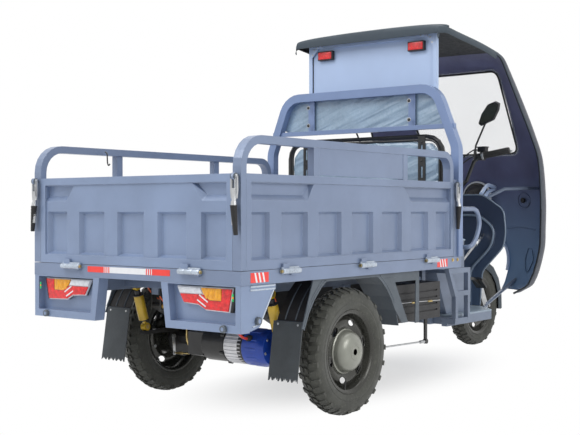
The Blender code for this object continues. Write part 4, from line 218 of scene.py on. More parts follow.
def surface(name, slot, colour, rough, metal, mottle, patch, grain, edge=0.0, edge_highlight=None, **more):
    """A material with colour variation, uneven gloss, fine bump, and edges that catch the light.

    slot is not used. mottle and patch are the strength and the scale of the colour's variation, grain the
    scale and height of the bump, edge the radius of the rounded edges, and the next argument the colour of a
    painted highlight laid along them. more holds what only some have: speck, fade toward the ground, another
    colour outside that paints shade on one side of a shell, folds, coat, sheen and alpha.
    """
    material = bpy.data.materials.new(name)
    material.use_nodes = True
    tree = material.node_tree
    shader = tree.nodes["Principled BSDF"]
    coords = added(tree, "TexCoord").outputs["Object"]
    dark = tuple(part * (1 - mottle) for part in colour)
    light = tuple(min(1.0, part * (1 + mottle)) for part in colour)
    base = mixed(tree, ranged(tree, noisy(tree, coords, patch, 4), 0, 1, 0.32, 0.68), dark, light)
    if "speck" in more:
        scale, share, shade = more["speck"]
        base = mixed(tree, ranged(tree, noisy(tree, coords, scale, 2), 0, share, 0.55, 0.75), base, shade)
    if "fade" in more:
        low, high, shade = more["fade"]
        height = added(tree, "SeparateXYZ", {0: coords}).outputs["Z"]
        base = mixed(tree, ranged(tree, height, 1, 0, low, high), base, shade)
    # painted shade: faces that look away from the centre take another colour, so one side of a shell is
    # painted darker than the other
    if "outside" in more:
        centre, shade = more["outside"]
        base = mixed(tree, facing_out(tree, coords, centre), base, shade)
    bump = {"Strength": grain[1] * 10, "Distance": 0.0004, "Height": noisy(tree, coords, grain[0], 2)}
    if edge:
        soft = added(tree, "Bevel", {"Radius": edge}, samples=3).outputs["Normal"]
        bump["Normal"] = soft
    # painted highlight: where the rounded normal bends away from the flat one, the colour is lightened toward
    # the highlight colour
    if edge and edge_highlight:
        flat = added(tree, "NewGeometry").outputs["True Normal"]
        bend = added(tree, "VectorMath", {0: soft, 1: flat}, operation="DOT_PRODUCT").outputs["Value"]
        base = mixed(tree, ranged(tree, bend, 0.55, 0, 0.80, 0.985), base, edge_highlight)
    normal = added(tree, "Bump", bump).outputs["Normal"]
    if "folds" in more:
        normal = folded(tree, coords, normal, more["folds"])
    gloss = noisy(tree, coords, patch * 9, 3)
    for key, value in (
        ("Base Color", base),
        ("Roughness", ranged(tree, gloss, max(0.02, rough - 0.06), rough + 0.06, 0.3, 0.7)),
        ("Normal", normal),
        ("Metallic", metal),
        ("Coat Weight", more.get("coat", 0.0)),
        ("Coat Roughness", more.get("coat_rough", 0.15)),
        ("Sheen Weight", more.get("sheen", 0.0)),
        ("Alpha", more.get("alpha", 1.0)),
        ("Specular IOR Level", 0.22 if "outside" in more else 0.5),
    ):
        given(tree, shader.inputs[key], value)
    return material


# the bump and rounding that all sheet paint has, with a painted highlight along its edges
PAINTED = {"grain": (900, 0.03), "edge": 0.0022, "edge_highlight": (0.46, 0.55, 0.70), "coat": 0.25}
PAINT = surface("bed_paint", "bed_paint", (0.192, 0.244, 0.362), 0.36, 0.15, 0.07, 5, **PAINTED)
# painted light: a lighter, bluer copy of the bed paint that stands for how the rear-facing tailgate and
# aprons are lit
REAR_LIT_PAINT = surface("rear_lit_paint", "bed_paint", (0.222, 0.288, 0.432), 0.36, 0.15, 0.08, 5, **PAINTED)
GUARD_PAINT = surface("guard_paint", "bed_paint", (0.190, 0.262, 0.440), 0.36, 0.15, 0.07, 5, **PAINTED)
FRAME_PAINT = surface(
    "frame_paint", "chassis_paint", (0.165, 0.205, 0.285), 0.40, 0.15, 0.10, 9,
    (700, 0.04), 0.0016, (0.42, 0.48, 0.56), coat=0.15,
)
PALE_PAINT = surface(
    "partition_paint", "chassis_paint", (0.440, 0.550, 0.760), 0.42, 0.05, 0.05, 3,
    (800, 0.03), 0.0018, (0.62, 0.70, 0.84), coat=0.15,
)
FLOOR_PAINT = surface(
    "floor_paint", "chassis_paint", (0.300, 0.370, 0.440), 0.48, 0.10, 0.12, 7,
    (300, 0.05), 0.0016, (0.45, 0.52, 0.60),
)
HINGE_PAINT = surface(
    "hinge_paint", "bed_paint", (0.46, 0.52, 0.60), 0.30, 0.35, 0.10, 20,
    (700, 0.04), 0.0008, (0.80, 0.84, 0.88), coat=0.4,
)
# painted shade: the fairing's outer skin, facing away from the cab, is darkened
NAVY_SHELL = surface(
    "navy_shell", "shell_plastic", (0.112, 0.118, 0.218), 0.42, 0.0, 0.16, 5,
    (500, 0.06), 0.0015, (0.16, 0.19, 0.27),
    outside=((0, 1.1, 1.0), (0.046, 0.053, 0.072)), fade=(0.50, 1.00, (0.205, 0.320, 0.500)),
)
# painted shade: the roof's underside and other faces turned toward the cab keep the near-black base colour,
# darker than the top
GREY_SHELL = surface(
    "grey_shell", "shell_plastic", (0.010, 0.012, 0.015), 0.55, 0.0, 0.10, 5,
    (600, 0.06), 0.0020, (0.10, 0.12, 0.14), outside=((0, 0.5, 1.3), (0.056, 0.072, 0.088)),
)
SHIELD_SHELL = surface(
    "shield_shell", "shell_plastic", (0.027, 0.037, 0.072), 0.36, 0.0, 0.14, 5,
    (600, 0.05), 0.0015, (0.20, 0.25, 0.30), coat=0.3, fade=(0.32, 0.80, (0.075, 0.115, 0.190)),
)
SHIELD_EDGE = surface(
    "shield_edge", "shell_plastic", (0.150, 0.200, 0.270), 0.34, 0.0, 0.10, 12, (600, 0.05), coat=0.3
)
BLACK_STEEL = surface(
    "black_steel", "black_steel", (0.022, 0.022, 0.022), 0.42, 0.3, 0.25, 14,
    (500, 0.06), 0.0010, (0.10, 0.10, 0.10), coat=0.2,
)
WHEEL_STEEL = surface(
    "wheel_steel", "black_steel", (0.032, 0.032, 0.026), 0.30, 0.45, 0.15, 10, (700, 0.04), coat=0.35
)
HUB_STEEL = surface(
    "hub_steel", "black_steel", (0.270, 0.275, 0.235), 0.34, 0.35, 0.14, 14, (700, 0.05), coat=0.35
)
ZINC = surface(
    "zinc_steel", "bare_steel", (0.50, 0.51, 0.52), 0.32, 0.9, 0.14, 30,
    (600, 0.06), 0.0006, (0.75, 0.76, 0.78),
)
BRASS = surface("yellow_zinc", "bare_steel", (0.62, 0.47, 0.20), 0.34, 0.9, 0.20, 60, (900, 0.05))
CHROME = surface("chrome", "bare_steel", (0.72, 0.74, 0.76), 0.12, 1.0, 0.04, 20, (900, 0.01))
CAST = surface(
    "cast_aluminium", "motor_blue", (0.62, 0.62, 0.64), 0.42, 0.75, 0.10, 25,
    (350, 0.12), 0.0012, (0.80, 0.80, 0.82),
)
RUBBER = surface(
    "tyre_rubber", "tyre", (0.048, 0.049, 0.040), 0.74, 0.0, 0.25, 16,
    (260, 0.22), sheen=0.2, speck=(90, 0.5, (0.120, 0.120, 0.096)),
)
FLAP_RUBBER = surface(
    "flap_rubber", "flap_rubber", (0.052, 0.060, 0.066), 0.62, 0.0, 0.14, 12,
    (420, 0.12), 0.0010, (0.15, 0.17, 0.19), sheen=0.1,
)
BLACK_PLASTIC = surface(
    "black_plastic", "black_plastic", (0.010, 0.010, 0.012), 0.45, 0.0, 0.2, 18,
    (800, 0.10), 0.0010, (0.07, 0.07, 0.075),
)
GRIP_RUBBER = surface("grip_rubber", "black_plastic", (0.016, 0.016, 0.017), 0.65, 0.0, 0.2, 30, (500, 0.16))
FENDER = surface(
    "fender_plastic", "fender_plastic", (0.090, 0.108, 0.128), 0.52, 0.0, 0.12, 8,
    (500, 0.10), 0.0015, (0.26, 0.30, 0.34),
)
LINER = surface("liner_plastic", "fender_plastic", (0.016, 0.014, 0.014), 0.62, 0.0, 0.3, 10, (300, 0.10))
BLUE = surface(
    "blue_cap", "motor_blue", (0.006, 0.050, 0.360), 0.35, 0.2, 0.14, 18,
    (500, 0.08), 0.0014, (0.08, 0.20, 0.60), coat=0.3,
)
YELLOW = surface(
    "shock_yellow", "shock_yellow", (0.560, 0.360, 0.020), 0.36, 0.1, 0.16, 20,
    (600, 0.06), 0.0010, (0.80, 0.60, 0.15), coat=0.3,
)
RED_LENS = surface(
    "red_lens", "lamp_red", (0.74, 0.010, 0.014), 0.20, 0.0, 0.30, 60,
    (240, 0.35), coat=0.35, speck=(160, 0.5, (0.90, 0.16, 0.12)),
)
AMBER_LENS = surface(
    "amber_lens", "lamp_red", (0.95, 0.36, 0.003), 0.20, 0.0, 0.22, 60,
    (240, 0.35), coat=0.35, speck=(160, 0.6, (1.0, 0.62, 0.05)),
)
CLEAR_LENS = surface(
    "clear_lens", "lamp_red", (0.74, 0.76, 0.80), 0.12, 0.0, 0.10, 60,
    (240, 0.35), coat=0.9, speck=(170, 0.5, (0.45, 0.46, 0.50)),
)
PALE_RING = surface("pale_ring", "lamp_glass", (0.62, 0.64, 0.66), 0.35, 0.0, 0.05, 20, (600, 0.03), coat=0.3)
TAPE = {"grain": (1400, 0.05), "coat": 0.4}
RED_TAPE = surface("red_reflector", "bed_paint", (0.86, 0.040, 0.028), 0.35, 0.0, 0.05, 40, **TAPE)
WHITE_TAPE = surface("white_reflector", "bed_paint", (0.80, 0.80, 0.82), 0.35, 0.0, 0.03, 40, **TAPE)
GREEN_TAPE = surface("green_marker", "bed_paint", (0.02, 0.60, 0.15), 0.40, 0.0, 0.05, 40, (900, 0.03))
ORANGE_WIRE = surface("orange_wire", "black_plastic", (0.85, 0.14, 0.03), 0.45, 0.0, 0.10, 40, (700, 0.05))
RED_CABLE = surface(
    "red_cable", "black_plastic", (0.62, 0.045, 0.030), 0.42, 0.0, 0.10, 30, (700, 0.05), coat=0.2
)
FILM = surface(
    "cushion_film", "cushion_cover", (0.290, 0.400, 0.510), 0.28, 0.0, 0.10, 6,
    (600, 0.04), coat=0.7, coat_rough=0.12, folds=(2.8, 0.032, (1.2, 0.5, 0.16), -20),
)
GLASS = surface(
    "windscreen_glass", "windscreen_glass", (0.86, 0.90, 0.93), 0.03, 0.0, 0.01, 2,
    (40, 0.002), alpha=0.16, coat=0.4,
)
MIRROR_GLASS = surface("mirror_glass", "lamp_glass", (0.110, 0.105, 0.075), 0.12, 0.9, 0.03, 4, (40, 0.002))
POD = surface(
    "pod_plastic", "black_plastic", (0.36, 0.41, 0.42), 0.36, 0.0, 0.10, 12,
    (600, 0.05), 0.0012, (0.62, 0.68, 0.68),
)
SCREEN = surface(
    "display_screen", "lamp_glass", (0.25, 0.30, 0.30), 0.15, 0.0, 0.08, 20, (900, 0.01), coat=0.8
)

NODE_LOOKS = {
    PAINT: "bed_frame front_board side_board_left side_board_right",
    GUARD_PAINT: "guard_frame",
    REAR_LIT_PAINT: "tailgate rear_apron_left rear_apron_right",
    FRAME_PAINT: "chassis_frame seat_box",
    FLOOR_PAINT: "floor_pan",
    PALE_PAINT: "rear_partition",
    GREY_SHELL: "cab_roof front_mudguard",
    NAVY_SHELL: "front_fairing",
    SHIELD_SHELL: "leg_shield",
    BLACK_STEEL: "axle_housing brake_crank brake_pedal handlebar leaf_spring_left leaf_spring_right motor"
    " seat_back_frame steering_fork",
    WHEEL_STEEL: "front_wheel rear_wheel_left rear_wheel_right",
    ZINC: "brake_lever_left brake_lever_right brake_rod fork_sliders latch_lever_front_left"
    " latch_lever_front_right latch_lever_rear_left latch_lever_rear_right parking_lever",
    RUBBER: "front_tyre rear_tyre_left rear_tyre_right",
    FLAP_RUBBER: "mud_flap_left mud_flap_right",
    GRIP_RUBBER: "throttle_grip motor_cable",
    BLACK_PLASTIC: "battery_box headlight mirror_left mirror_right",
    POD: "instrument_pod",
    FENDER: "fender_left fender_right",
    YELLOW: "shock_absorber_left shock_absorber_right horn_button",
    RED_LENS: "tail_lamp_left tail_lamp_right",
    GLASS: "windscreen",
    FILM: "seat_backrest seat_cushion upper_backrest",
}
for look, names in NODE_LOOKS.items():
    for node in names.split():
        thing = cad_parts[node]
        thing.data.materials.clear()
        thing.data.materials.append(look)


# Shapes

MERGE = 0.00001


def spot(point, level, axis):
    a, b = point
    return {"X": (level, a, b), "Y": (a, level, b), "Z": (a, b, level)}[axis]


def rounded(points, radius, steps=6, closed=False):
    """The path with each inner corner replaced by an arc-like curve."""
    points = [Vector(point) for point in points]
    path = [] if closed else [points[0]]
    span = range(len(points)) if closed else range(1, len(points) - 1)
    for index in span:
        before, corner, after = points[index - 1], points[index], points[(index + 1) % len(points)]
        reach = min(radius, (before - corner).length * 0.49, (after - corner).length * 0.49)
        start = corner + (before - corner).normalized() * reach
        end = corner + (after - corner).normalized() * reach
        for step in range(steps + 1):
            t = step / steps
            path.append(start * (1 - t) ** 2 + corner * 2 * t * (1 - t) + end * t**2)
    return path if closed else path + [points[-1]]


def rounded_flat(points, radius, steps):
    """The same for a path of (across, up) points."""
    return [(p.x, p.y) for p in rounded([(a, b, 0) for a, b in points], radius, steps)]


def edges_of(verts):
    """Each edge at these vertices once, in their order."""
    return list(dict.fromkeys(edge for vert in verts for edge in vert.link_edges))


class Shape:
    """Geometry gathered in one mesh, in the vehicle's level frame."""

    def __init__(self):
        self.bm = bmesh.new()

    def soften(self, edges, bevel):
        bmesh.ops.bevel(self.bm, geom=edges, offset=bevel, segments=2, affect="EDGES", profile=0.6)

    def box(self, x, y, z, bevel=0.0):
        low, high = (Vector(corner) for corner in zip(x, y, z))
        size = Matrix.Diagonal((*(high - low), 1))
        made = bmesh.ops.create_cube(self.bm, size=1, matrix=Matrix.Translation((low + high) / 2) @ size)
        if bevel:
            self.soften(edges_of(made["verts"]), bevel)
        return self

    def rod(self, start, end, radius, sides=20, end_radius=None, bevel=0.0):
        """A round bar or cone, its rims softened by the bevel."""
        start, end = Vector(start), Vector(end)
        turn = (end - start).to_track_quat("Z", "Y").to_matrix().to_4x4()
        made = bmesh.ops.create_cone(
            self.bm, cap_ends=True, segments=sides, radius1=radius,
            radius2=radius if end_radius is None else end_radius,
            depth=(end - start).length, matrix=Matrix.Translation((start + end) / 2) @ turn,
        )
        if bevel:
            shared = [edge for edge in edges_of(made["verts"]) if len(edge.link_faces) == 2]
            self.soften([e for e in shared if {len(face.verts) for face in e.link_faces} != {4}], bevel)
        return self

    def ball(self, centre, radius, squash=(1, 1, 1)):
        matrix = Matrix.Translation(centre) @ Matrix.Diagonal((*squash, 1))
        bmesh.ops.create_uvsphere(self.bm, u_segments=20, v_segments=12, radius=radius, matrix=matrix)
        return self

    def rows(self, rows, closed=False, caps=True):
        """Faces between rows of points, each row a closed ring where closed."""
        made = [[self.bm.verts.new(point) for point in row] for row in rows]
        count = len(made[0])
        for first, second in zip(made, made[1:]):
            for index in range(count if closed else count - 1):
                after = (index + 1) % count
                self.bm.faces.new((first[index], first[after], second[after], second[index]))
        if closed and caps:
            self.bm.faces.new(made[0][::-1])
            self.bm.faces.new(made[-1])
        return self

    def tube(self, points, radius, sides=12, closed=False, section=None):
        """A round bar, or a bar of the given (across, up) section, along the points."""
        points = [Vector(point) for point in points]
        ring = section or [around((0, 0), radius, turn) for turn in turns(sides)]
        rows, side = [], None
        last = len(points) - 1
        for index, point in enumerate(points):
            if closed:
                along = (points[(index + 1) % len(points)] - points[index - 1]).normalized()
            else:
                along = (points[min(index + 1, last)] - points[max(index - 1, 0)]).normalized()
            if side is None:
                side = along.cross(Vector((0, 0, 1))) if section else along.orthogonal()
            side = (side - along * side.dot(along)).normalized()
            up = side.cross(along)
            rows.append([point + side * a + up * b for a, b in ring])
        if closed:
            rows.append(rows[0])
        return self.rows(rows, True, not closed)

    def prism(self, outline, low, high, axis, bevel=0.0):
        """The outline filled from low to high along the axis."""
        ends = [[self.bm.verts.new(spot(point, level, axis)) for point in outline] for level in (low, high)]
        first, second = ends
        self.bm.faces.new(first[::-1])
        self.bm.faces.new(second)
        for index in range(len(outline)):
            after = (index + 1) % len(outline)
            self.bm.faces.new((first[index], first[after], second[after], second[index]))
        if bevel:
            self.soften(edges_of(first + second), bevel)
        return self

    def turned(self, profile, centre, axis="X", steps=96):
        """The (radius, along) profile turned about the axis through centre."""
        centre, rows = Vector(centre), []
        for turn in turns(steps) + [2 * math.pi]:
            places = [spot(around((0, 0), radius, turn), along, axis) for radius, along in profile]
            rows.append([centre + Vector(place) for place in places])
        return self.rows(rows, True, False)

    def bolt(self, place, out, radius):
        """A hexagon head on a washer, facing out."""
        place, out = Vector(place), Vector(out).normalized()
        height = radius * 0.7
        self.rod(place, place + out * height * 0.25, radius * 1.35)
        return self.rod(place, place + out * height, radius, 6)

    def mirrored(self):
        """The shape and its mirror image across the vehicle's middle."""
        whole = self.bm.verts[:] + self.bm.edges[:] + self.bm.faces[:]
        parts = bmesh.ops.duplicate(self.bm, geom=whole)["geom"]
        copies = [part for part in parts if isinstance(part, bmesh.types.BMVert)]
        bmesh.ops.scale(self.bm, vec=(-1, 1, 1), verts=copies)
        return self

    def closed_up(self):
        bmesh.ops.remove_doubles(self.bm, verts=self.bm.verts, dist=MERGE)
        bmesh.ops.recalc_face_normals(self.bm, faces=self.bm.faces)

    def carve(self, cutter, how="DIFFERENCE"):
        """This shape with the cutter's taken out, or only what both share."""
        things = []
        for shape in (self, cutter):
            shape.closed_up()
            data = bpy.data.meshes.new("solid")
            shape.bm.to_mesh(data)
            shape.bm.free()
            things.append(linked(bpy.data.objects.new("solid", data)))
        cut = things[0].modifiers.new("cut", "BOOLEAN")
        cut.object = things[1]
        cut.operation = how
        cut.solver = "EXACT"
        self.bm = bmesh.new()
        self.bm.from_mesh(baked(things[0]))
        for thing in things:
            bpy.data.objects.remove(thing, do_unlink=True)
        return self

    def done(self, name, look, body="chassis", slot=None, replaces=(), angle=35):
        """The finished piece, in the row's frame and on its body."""
        self.closed_up()
        data = bpy.data.meshes.new(name)
        self.bm.to_mesh(data)
        self.bm.free()
        data.transform(STANCE)
        data.materials.append(look)
        data.shade_smooth()
        data.set_sharp_from_angle(angle=math.radians(angle))
        thing = linked(bpy.data.objects.new(name, data))
        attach(thing, body)
        if replaces:
            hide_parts(*replaces)
        return thing


def baked(thing):
    """The object's mesh with its modifiers' work in it."""
    graph = bpy.context.evaluated_depsgraph_get()
    return bpy.data.meshes.new_from_object(thing.evaluated_get(graph), depsgraph=graph)


# Tyres

REAR_AXLE = (0.727, 0.2643)
FRONT_AXLE = (2.793, 0.282)
HALF_TRACK = 0.496
# the solids' rings have 20 sides, and the tread stays inside their flats
FLAT = math.cos(math.pi / 20)
LUG_DEPTH = 0.0085


def tyre_lugs(shape, centre, radius, half, pitches):
    """Shoulder lugs in two staggered sizes and a zigzag centre rib, pressed out of the tread."""

    def block(start, shares, xs, tops):
        """A block whose corners lie at these shares of the pitch, places across and radii."""
        rings = []
        for drop in (LUG_DEPTH * 1.3, 0):
            corners = []
            for share, x, top in zip(shares, xs, tops):
                place = around(centre[1:], top - drop, start + share * step)
                corners.append(shape.bm.verts.new((centre[0] + x, *place)))
            rings.append(corners)
        low, top = rings
        shape.bm.faces.new(top)
        for k in range(4):
            n = (k + 1) % 4
            shape.bm.faces.new((low[k], low[n], top[n], top[k]))

    step = 2 * math.pi / pitches
    shoulder = radius * 0.952
    for k, turn in enumerate(turns(pitches)):
        outer = half * 0.985 * (1.0 if k % 2 else 0.82)
        crown = half * 0.30
        for side, shift in ((1, 0.5), (-1, 0.0)):
            xs = (side * outer, side * outer, side * crown, side * crown)
            block(turn + shift * step, (0, 0.62, 0.70, 0.16), xs, (shoulder, shoulder, radius, radius))
        xs = (-half * 0.20, -half * 0.08, half * 0.20, half * 0.08)
        block(turn, (0.10, 0.62, 0.80, 0.28), xs, (radius,) * 4)


def make_tyre(name, body, node, centre, radius, half, pitches):
    """A tyre with its bead, ribbed wall and lugs, in place of the plain ring."""
    bead = 0.1625
    crown = radius - LUG_DEPTH
    wall = [
        (0, 0.62), (0.006, 0.74), (0.020, 0.90), (0.034, 0.975), (0.038, 0.985), (0.040, 0.965),
        (0.043, 0.985), (0.056, 0.975),
    ]
    outer = [(bead + rise, half * share) for rise, share in wall]
    outer += [(radius * 0.918, half * 0.93), (radius * 0.94, half * 0.82), (crown, half * 0.55)]
    outer.append((crown + 0.001, half * 0.20))
    profile = outer + [(r, -x) for r, x in outer[::-1]]
    profile += [(bead - 0.002, -half * 0.5), (bead - 0.002, half * 0.5)]
    shape = Shape().turned(profile, centre, "X", 120)
    tyre_lugs(shape, centre, radius, half, pitches)
    shape.done(name, RUBBER, body, replaces=(node,), angle=38)


for side, word in SIDES:
    centre = (side * HALF_TRACK, *REAR_AXLE)
    names = (f"rear_tyre_tread_{word}", f"rear_wheel_{word}", f"rear_tyre_{word}")
    make_tyre(*names, centre, 0.2643 * FLAT, 0.0495, 46)
make_tyre("front_tyre_tread", "front_wheel", "front_tyre", (0, *FRONT_AXLE), 0.240 * FLAT, 0.0445, 44)


# Wheels

RIM_SEAT = 0.1615
HUB_CAP = [
    (0.0, 0.0600), (0.026, 0.0600), (0.0275, 0.0618), (0.032, 0.0618), (0.0335, 0.0600), (0.044, 0.0592),
    (0.058, 0.0560), (0.070, 0.0495), (0.079, 0.0395), (0.0845, 0.0260), (0.0875, 0.0130), (0.0925, 0.0100),
]
HUB_BACK = [(0.095, 0.0), (0.092, -0.012), (0.092, -0.085), (0.0, -0.085)]
FRONT_CAP = [
    (0.0, 0.044), (0.028, 0.044), (0.031, 0.041), (0.034, 0.026), (0.046, 0.014), (0.060, 0.012),
    (0.070, 0.010), (0.088, 0.008),
]
FRONT_BACK = [(0.086, 0.002), (0.070, 0.0), (0.060, -0.020), (0.056, -0.034), (0.052, -0.036), (0.0, -0.036)]


def wheel_profile(half, cap, inner):
    """A pressed rim: cap, dished disc, well, flange and back, as (radius, along) points."""
    lip = 0.72 * half
    dish = [
        (0.098, 0.012), (0.108, 0.018), (0.119, 0.020), (0.130, 0.017), (0.138, 0.008), (0.143, 0.002),
        (0.148, 0.008),
    ]
    well = [(0.1525, lip - 0.006), (0.156, lip), (0.164, lip + 0.004), (0.171, lip + 0.005)]
    well.append((0.1728, lip + 0.003))
    back = [(0.143, -0.003), (0.138, 0.003), (0.130, 0.012), (0.119, 0.015), (0.108, 0.013), (0.098, 0.006)]
    seat = [(0.1722, lip + 0.001), (RIM_SEAT, lip - 0.001), (RIM_SEAT, 0.001 - lip)]
    far = [(r, -x) for r, x in (well + seat[:1])[::-1]]
    return cap + dish + well + seat + far + [(0.148, -0.006)] + back + inner


def hand_hole(centre, turn, grow=0.0):
    """An oval in the wheel's plane, longer along the ring of holes, as (y, z) points."""
    middle = Vector(around(centre[1:], 0.119, turn))
    across = Vector(around((0, 0), 1, turn))
    along = Vector((-across.y, across.x))
    return [
        tuple(middle + along * (0.0235 + grow) * math.cos(t) + across * (0.0145 + grow) * math.sin(t))
        for t in turns(24)
    ]


def make_wheel(name, node, centre, side, half, cap, inner, bore=0.0):
    """A pressed wheel with six rimmed hand holes."""
    profile = [(max(r, bore), side * x) for r, x in wheel_profile(half, cap, inner)]
    places = turns(6, math.radians(15))
    holes = Shape()
    for turn in places:
        holes.prism(hand_hole(centre, turn), centre[0] - 0.04, centre[0] + 0.04, "X")
    shape = Shape().turned(profile, centre).carve(holes)
    for turn in places:
        rim = [(centre[0] + side * 0.0185, y, z) for y, z in hand_hole(centre, turn, 0.0005)]
        shape.tube(rim, 0.0021, 8, True)
    shape.done(name, WHEEL_STEEL, node, replaces=(node,), angle=40)


def make_rear_wheel(side, name):
    """The wheel with its hub cover, valve and nuts."""
    centre = (side * HALF_TRACK, *REAR_AXLE)
    make_wheel(f"{name}_disc", name, centre, side, 0.050, HUB_CAP, HUB_BACK)
    cover = [(r, side * (x + 0.0006)) for r, x in HUB_CAP] + [(0.0925, side * 0.0100)]
    Shape().turned(cover, centre).done(f"{name}_cap", HUB_STEEL, name)
    turn = math.radians(-105)
    foot = Vector((side * 0.530, *around(REAR_AXLE, 0.150, turn)))
    inward = -Vector((0, *around((0, 0), 1, turn)))
    valve = Shape().rod(foot - inward * 0.004, foot + inward * 0.014, 0.0045, 16)
    valve.rod(foot, foot + inward * 0.030, 0.0032, 14).done(f"{name}_valve", GRIP_RUBBER, name)
    nuts = Shape()
    for turn in turns(4, 0.5):
        nuts.bolt((side * 0.4975, *around(REAR_AXLE, 0.100, turn)), (-side, 0, 0), 0.006)
    nuts.done(f"{name}_nuts", ZINC, name)


for side, word in SIDES:
    make_rear_wheel(side, f"rear_wheel_{word}")
make_wheel("front_wheel_disc", "front_wheel", (0, *FRONT_AXLE), 1, 0.045, FRONT_CAP, FRONT_BACK, 0.0088)


# Cushions

SWELL_LIMIT = 0.006
SWELL_FRAMES = 12


def bake(thing):
    """Bake an object's modifiers into its mesh."""
    made = baked(thing)
    thing.modifiers.clear()
    thing.data = made


def swollen(pad, middle):
    """The pad's skin shrunk a little and blown up again as cloth under pressure."""
    bpy.context.view_layer.objects.active = pad
    for vertex in pad.data.vertices:
        vertex.co = middle + (vertex.co - middle) * 0.985
    cloth = pad.modifiers.new("cloth", "CLOTH").settings
    cloth.use_pressure = True
    cloth.uniform_pressure_force = 5.0
    cloth.quality = 5
    cloth.mass = 0.2
    cloth.tension_stiffness = 18
    cloth.compression_stiffness = 4
    cloth.bending_stiffness = 0.25
    cloth.effector_weights.gravity = 0
    for number in range(1, SWELL_FRAMES + 1):
        scene.frame_set(number)
    bake(pad)
    scene.frame_set(1)


def fold(here, seams, depth):
    """How far the slack cover sinks or rises here: long diagonal folds, and grooves along the seams."""
    slant = here.x * 17.0 - here.z * 48.0 + here.y * 12.0
    bend = noise.noise(Vector((here.x * 3.0, here.y * 3.0, here.z * 3.0))) * 5.0
    crest = (1 - abs(math.sin(slant + bend))) ** 2.2
    patch = 0.45 + 0.55 * noise.noise(Vector((here.x * 4.1 + 7, here.y * 5.0, here.z * 6.7)))
    rise = depth * (1.5 * crest * max(0.0, patch) - 0.30)
    for axis, place in seams:
        gap = abs(here[axis] - place) / 0.006
        if gap < 3:
            rise -= 0.0045 * math.exp(-gap * gap)
    return rise


def make_pad(node, body, depth, seams, low=(0, 0, 0), high=(0, 0, 0), flat=None):
    """A padded piece in place of a soft solid: inflated cloth with creases.

    low and high give how far the slack cover reaches past the solid on its lower and upper sides, and flat
    the plane of its back, which stays flat against what carries it.
    """
    pad = linked(bpy.data.objects.new(f"{node}_pad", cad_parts[node].data.copy()))
    lowest, highest = (Vector(corner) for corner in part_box(node))
    for vertex in pad.data.vertices:
        for axis in range(3):
            share = (vertex.co[axis] - lowest[axis]) / (highest[axis] - lowest[axis])
            vertex.co[axis] += high[axis] * share - low[axis] * (1 - share)
    remesh = pad.modifiers.new("remesh", "REMESH")
    remesh.mode = "VOXEL"
    remesh.voxel_size = 0.0075
    bake(pad)
    start = [vertex.co.copy() for vertex in pad.data.vertices]
    swollen(pad, (lowest + highest) / 2)
    for vertex, rest in zip(pad.data.vertices, start):
        move = vertex.co - rest
        if move.length > SWELL_LIMIT:
            vertex.co = rest + move * (SWELL_LIMIT / move.length)
    smooth = pad.modifiers.new("smooth", "SUBSURF")
    smooth.levels = 1
    smooth.render_levels = 1
    bake(pad)
    level = STANCE.inverted()
    normals = [vertex.normal.copy() for vertex in pad.data.vertices]
    for vertex, normal in zip(pad.data.vertices, normals):
        here = level @ vertex.co
        here += (level.to_3x3() @ normal) * fold(here, seams, depth)
        if flat is not None:
            here.y = max(here.y, flat)
        vertex.co = STANCE @ here
    pad.data.materials.clear()
    pad.data.materials.append(FILM)
    pad.data.shade_smooth()
    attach(pad, body)
    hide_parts(node)


make_pad("seat_cushion", "seat_cushion", 0.0022, [(2, 0.742), (0, -0.133), (0, 0.133)])
make_pad("seat_backrest", "chassis", 0.0045, [(2, 0.985)], (0.009, 0, 0), (0.009, 0, 0.003), 1.6084)
make_pad("upper_backrest", "chassis", 0.0045, [], (0.040, 0, 0.024), (0.040, 0, 0.014), 1.6005)


# Cab shells

SHELL_WALL = 0.004
# each station: half width and place of the side edge, then place of the middle, as (x, y, z, y, z)
FAIRING_POWER = 2.4
FAIRING_STATIONS = [
    (0.440, 2.430, 0.392, 2.760, 0.392),
    (0.492, 2.505, 0.440, 2.790, 0.440),
    (0.520, 2.580, 0.620, 2.860, 0.620),
    (0.520, 2.595, 0.740, 2.880, 0.740),
    (0.520, 2.600, 0.900, 2.880, 0.900),
    (0.518, 2.570, 1.120, 2.825, 1.120),
    (0.510, 2.490, 1.250, 2.755, 1.250),
    (0.490, 2.405, 1.390, 2.675, 1.390),
    (0.450, 2.300, 1.600, 2.500, 1.612),
    (0.447, 2.255, 1.645, 2.430, 1.665),
    (0.445, 2.200, 1.662, 2.340, 1.700),
]
ROOF_STATIONS = [
    (0.445, 2.1982, 1.662, 2.3382, 1.700),
    (0.445, 2.045, 1.690, 2.085, 1.722),
    (0.448, 1.780, 1.716, 1.782, 1.745),
    (0.446, 1.670, 1.728, 1.670, 1.752),
    (0.430, 1.632, 1.726, 1.632, 1.748),
]
WINDOW_CORNERS = [(0, 1.170), (0.300, 1.170), (0.322, 1.606), (0, 1.606)]
ARCH_CORNERS = [(0.210, 0.30), (0.230, 0.56), (0.165, 0.672), (0, 0.672)]
BADGE_CORNERS = [
    (0.345, 0.626), (0.372, 0.622), (0.402, 0.560), (0.378, 0.492), (0.352, 0.500), (0.336, 0.565)
]
LAMP_PLACE = (0, 0, 0.92)
KNOB = (0.303, 0.899)


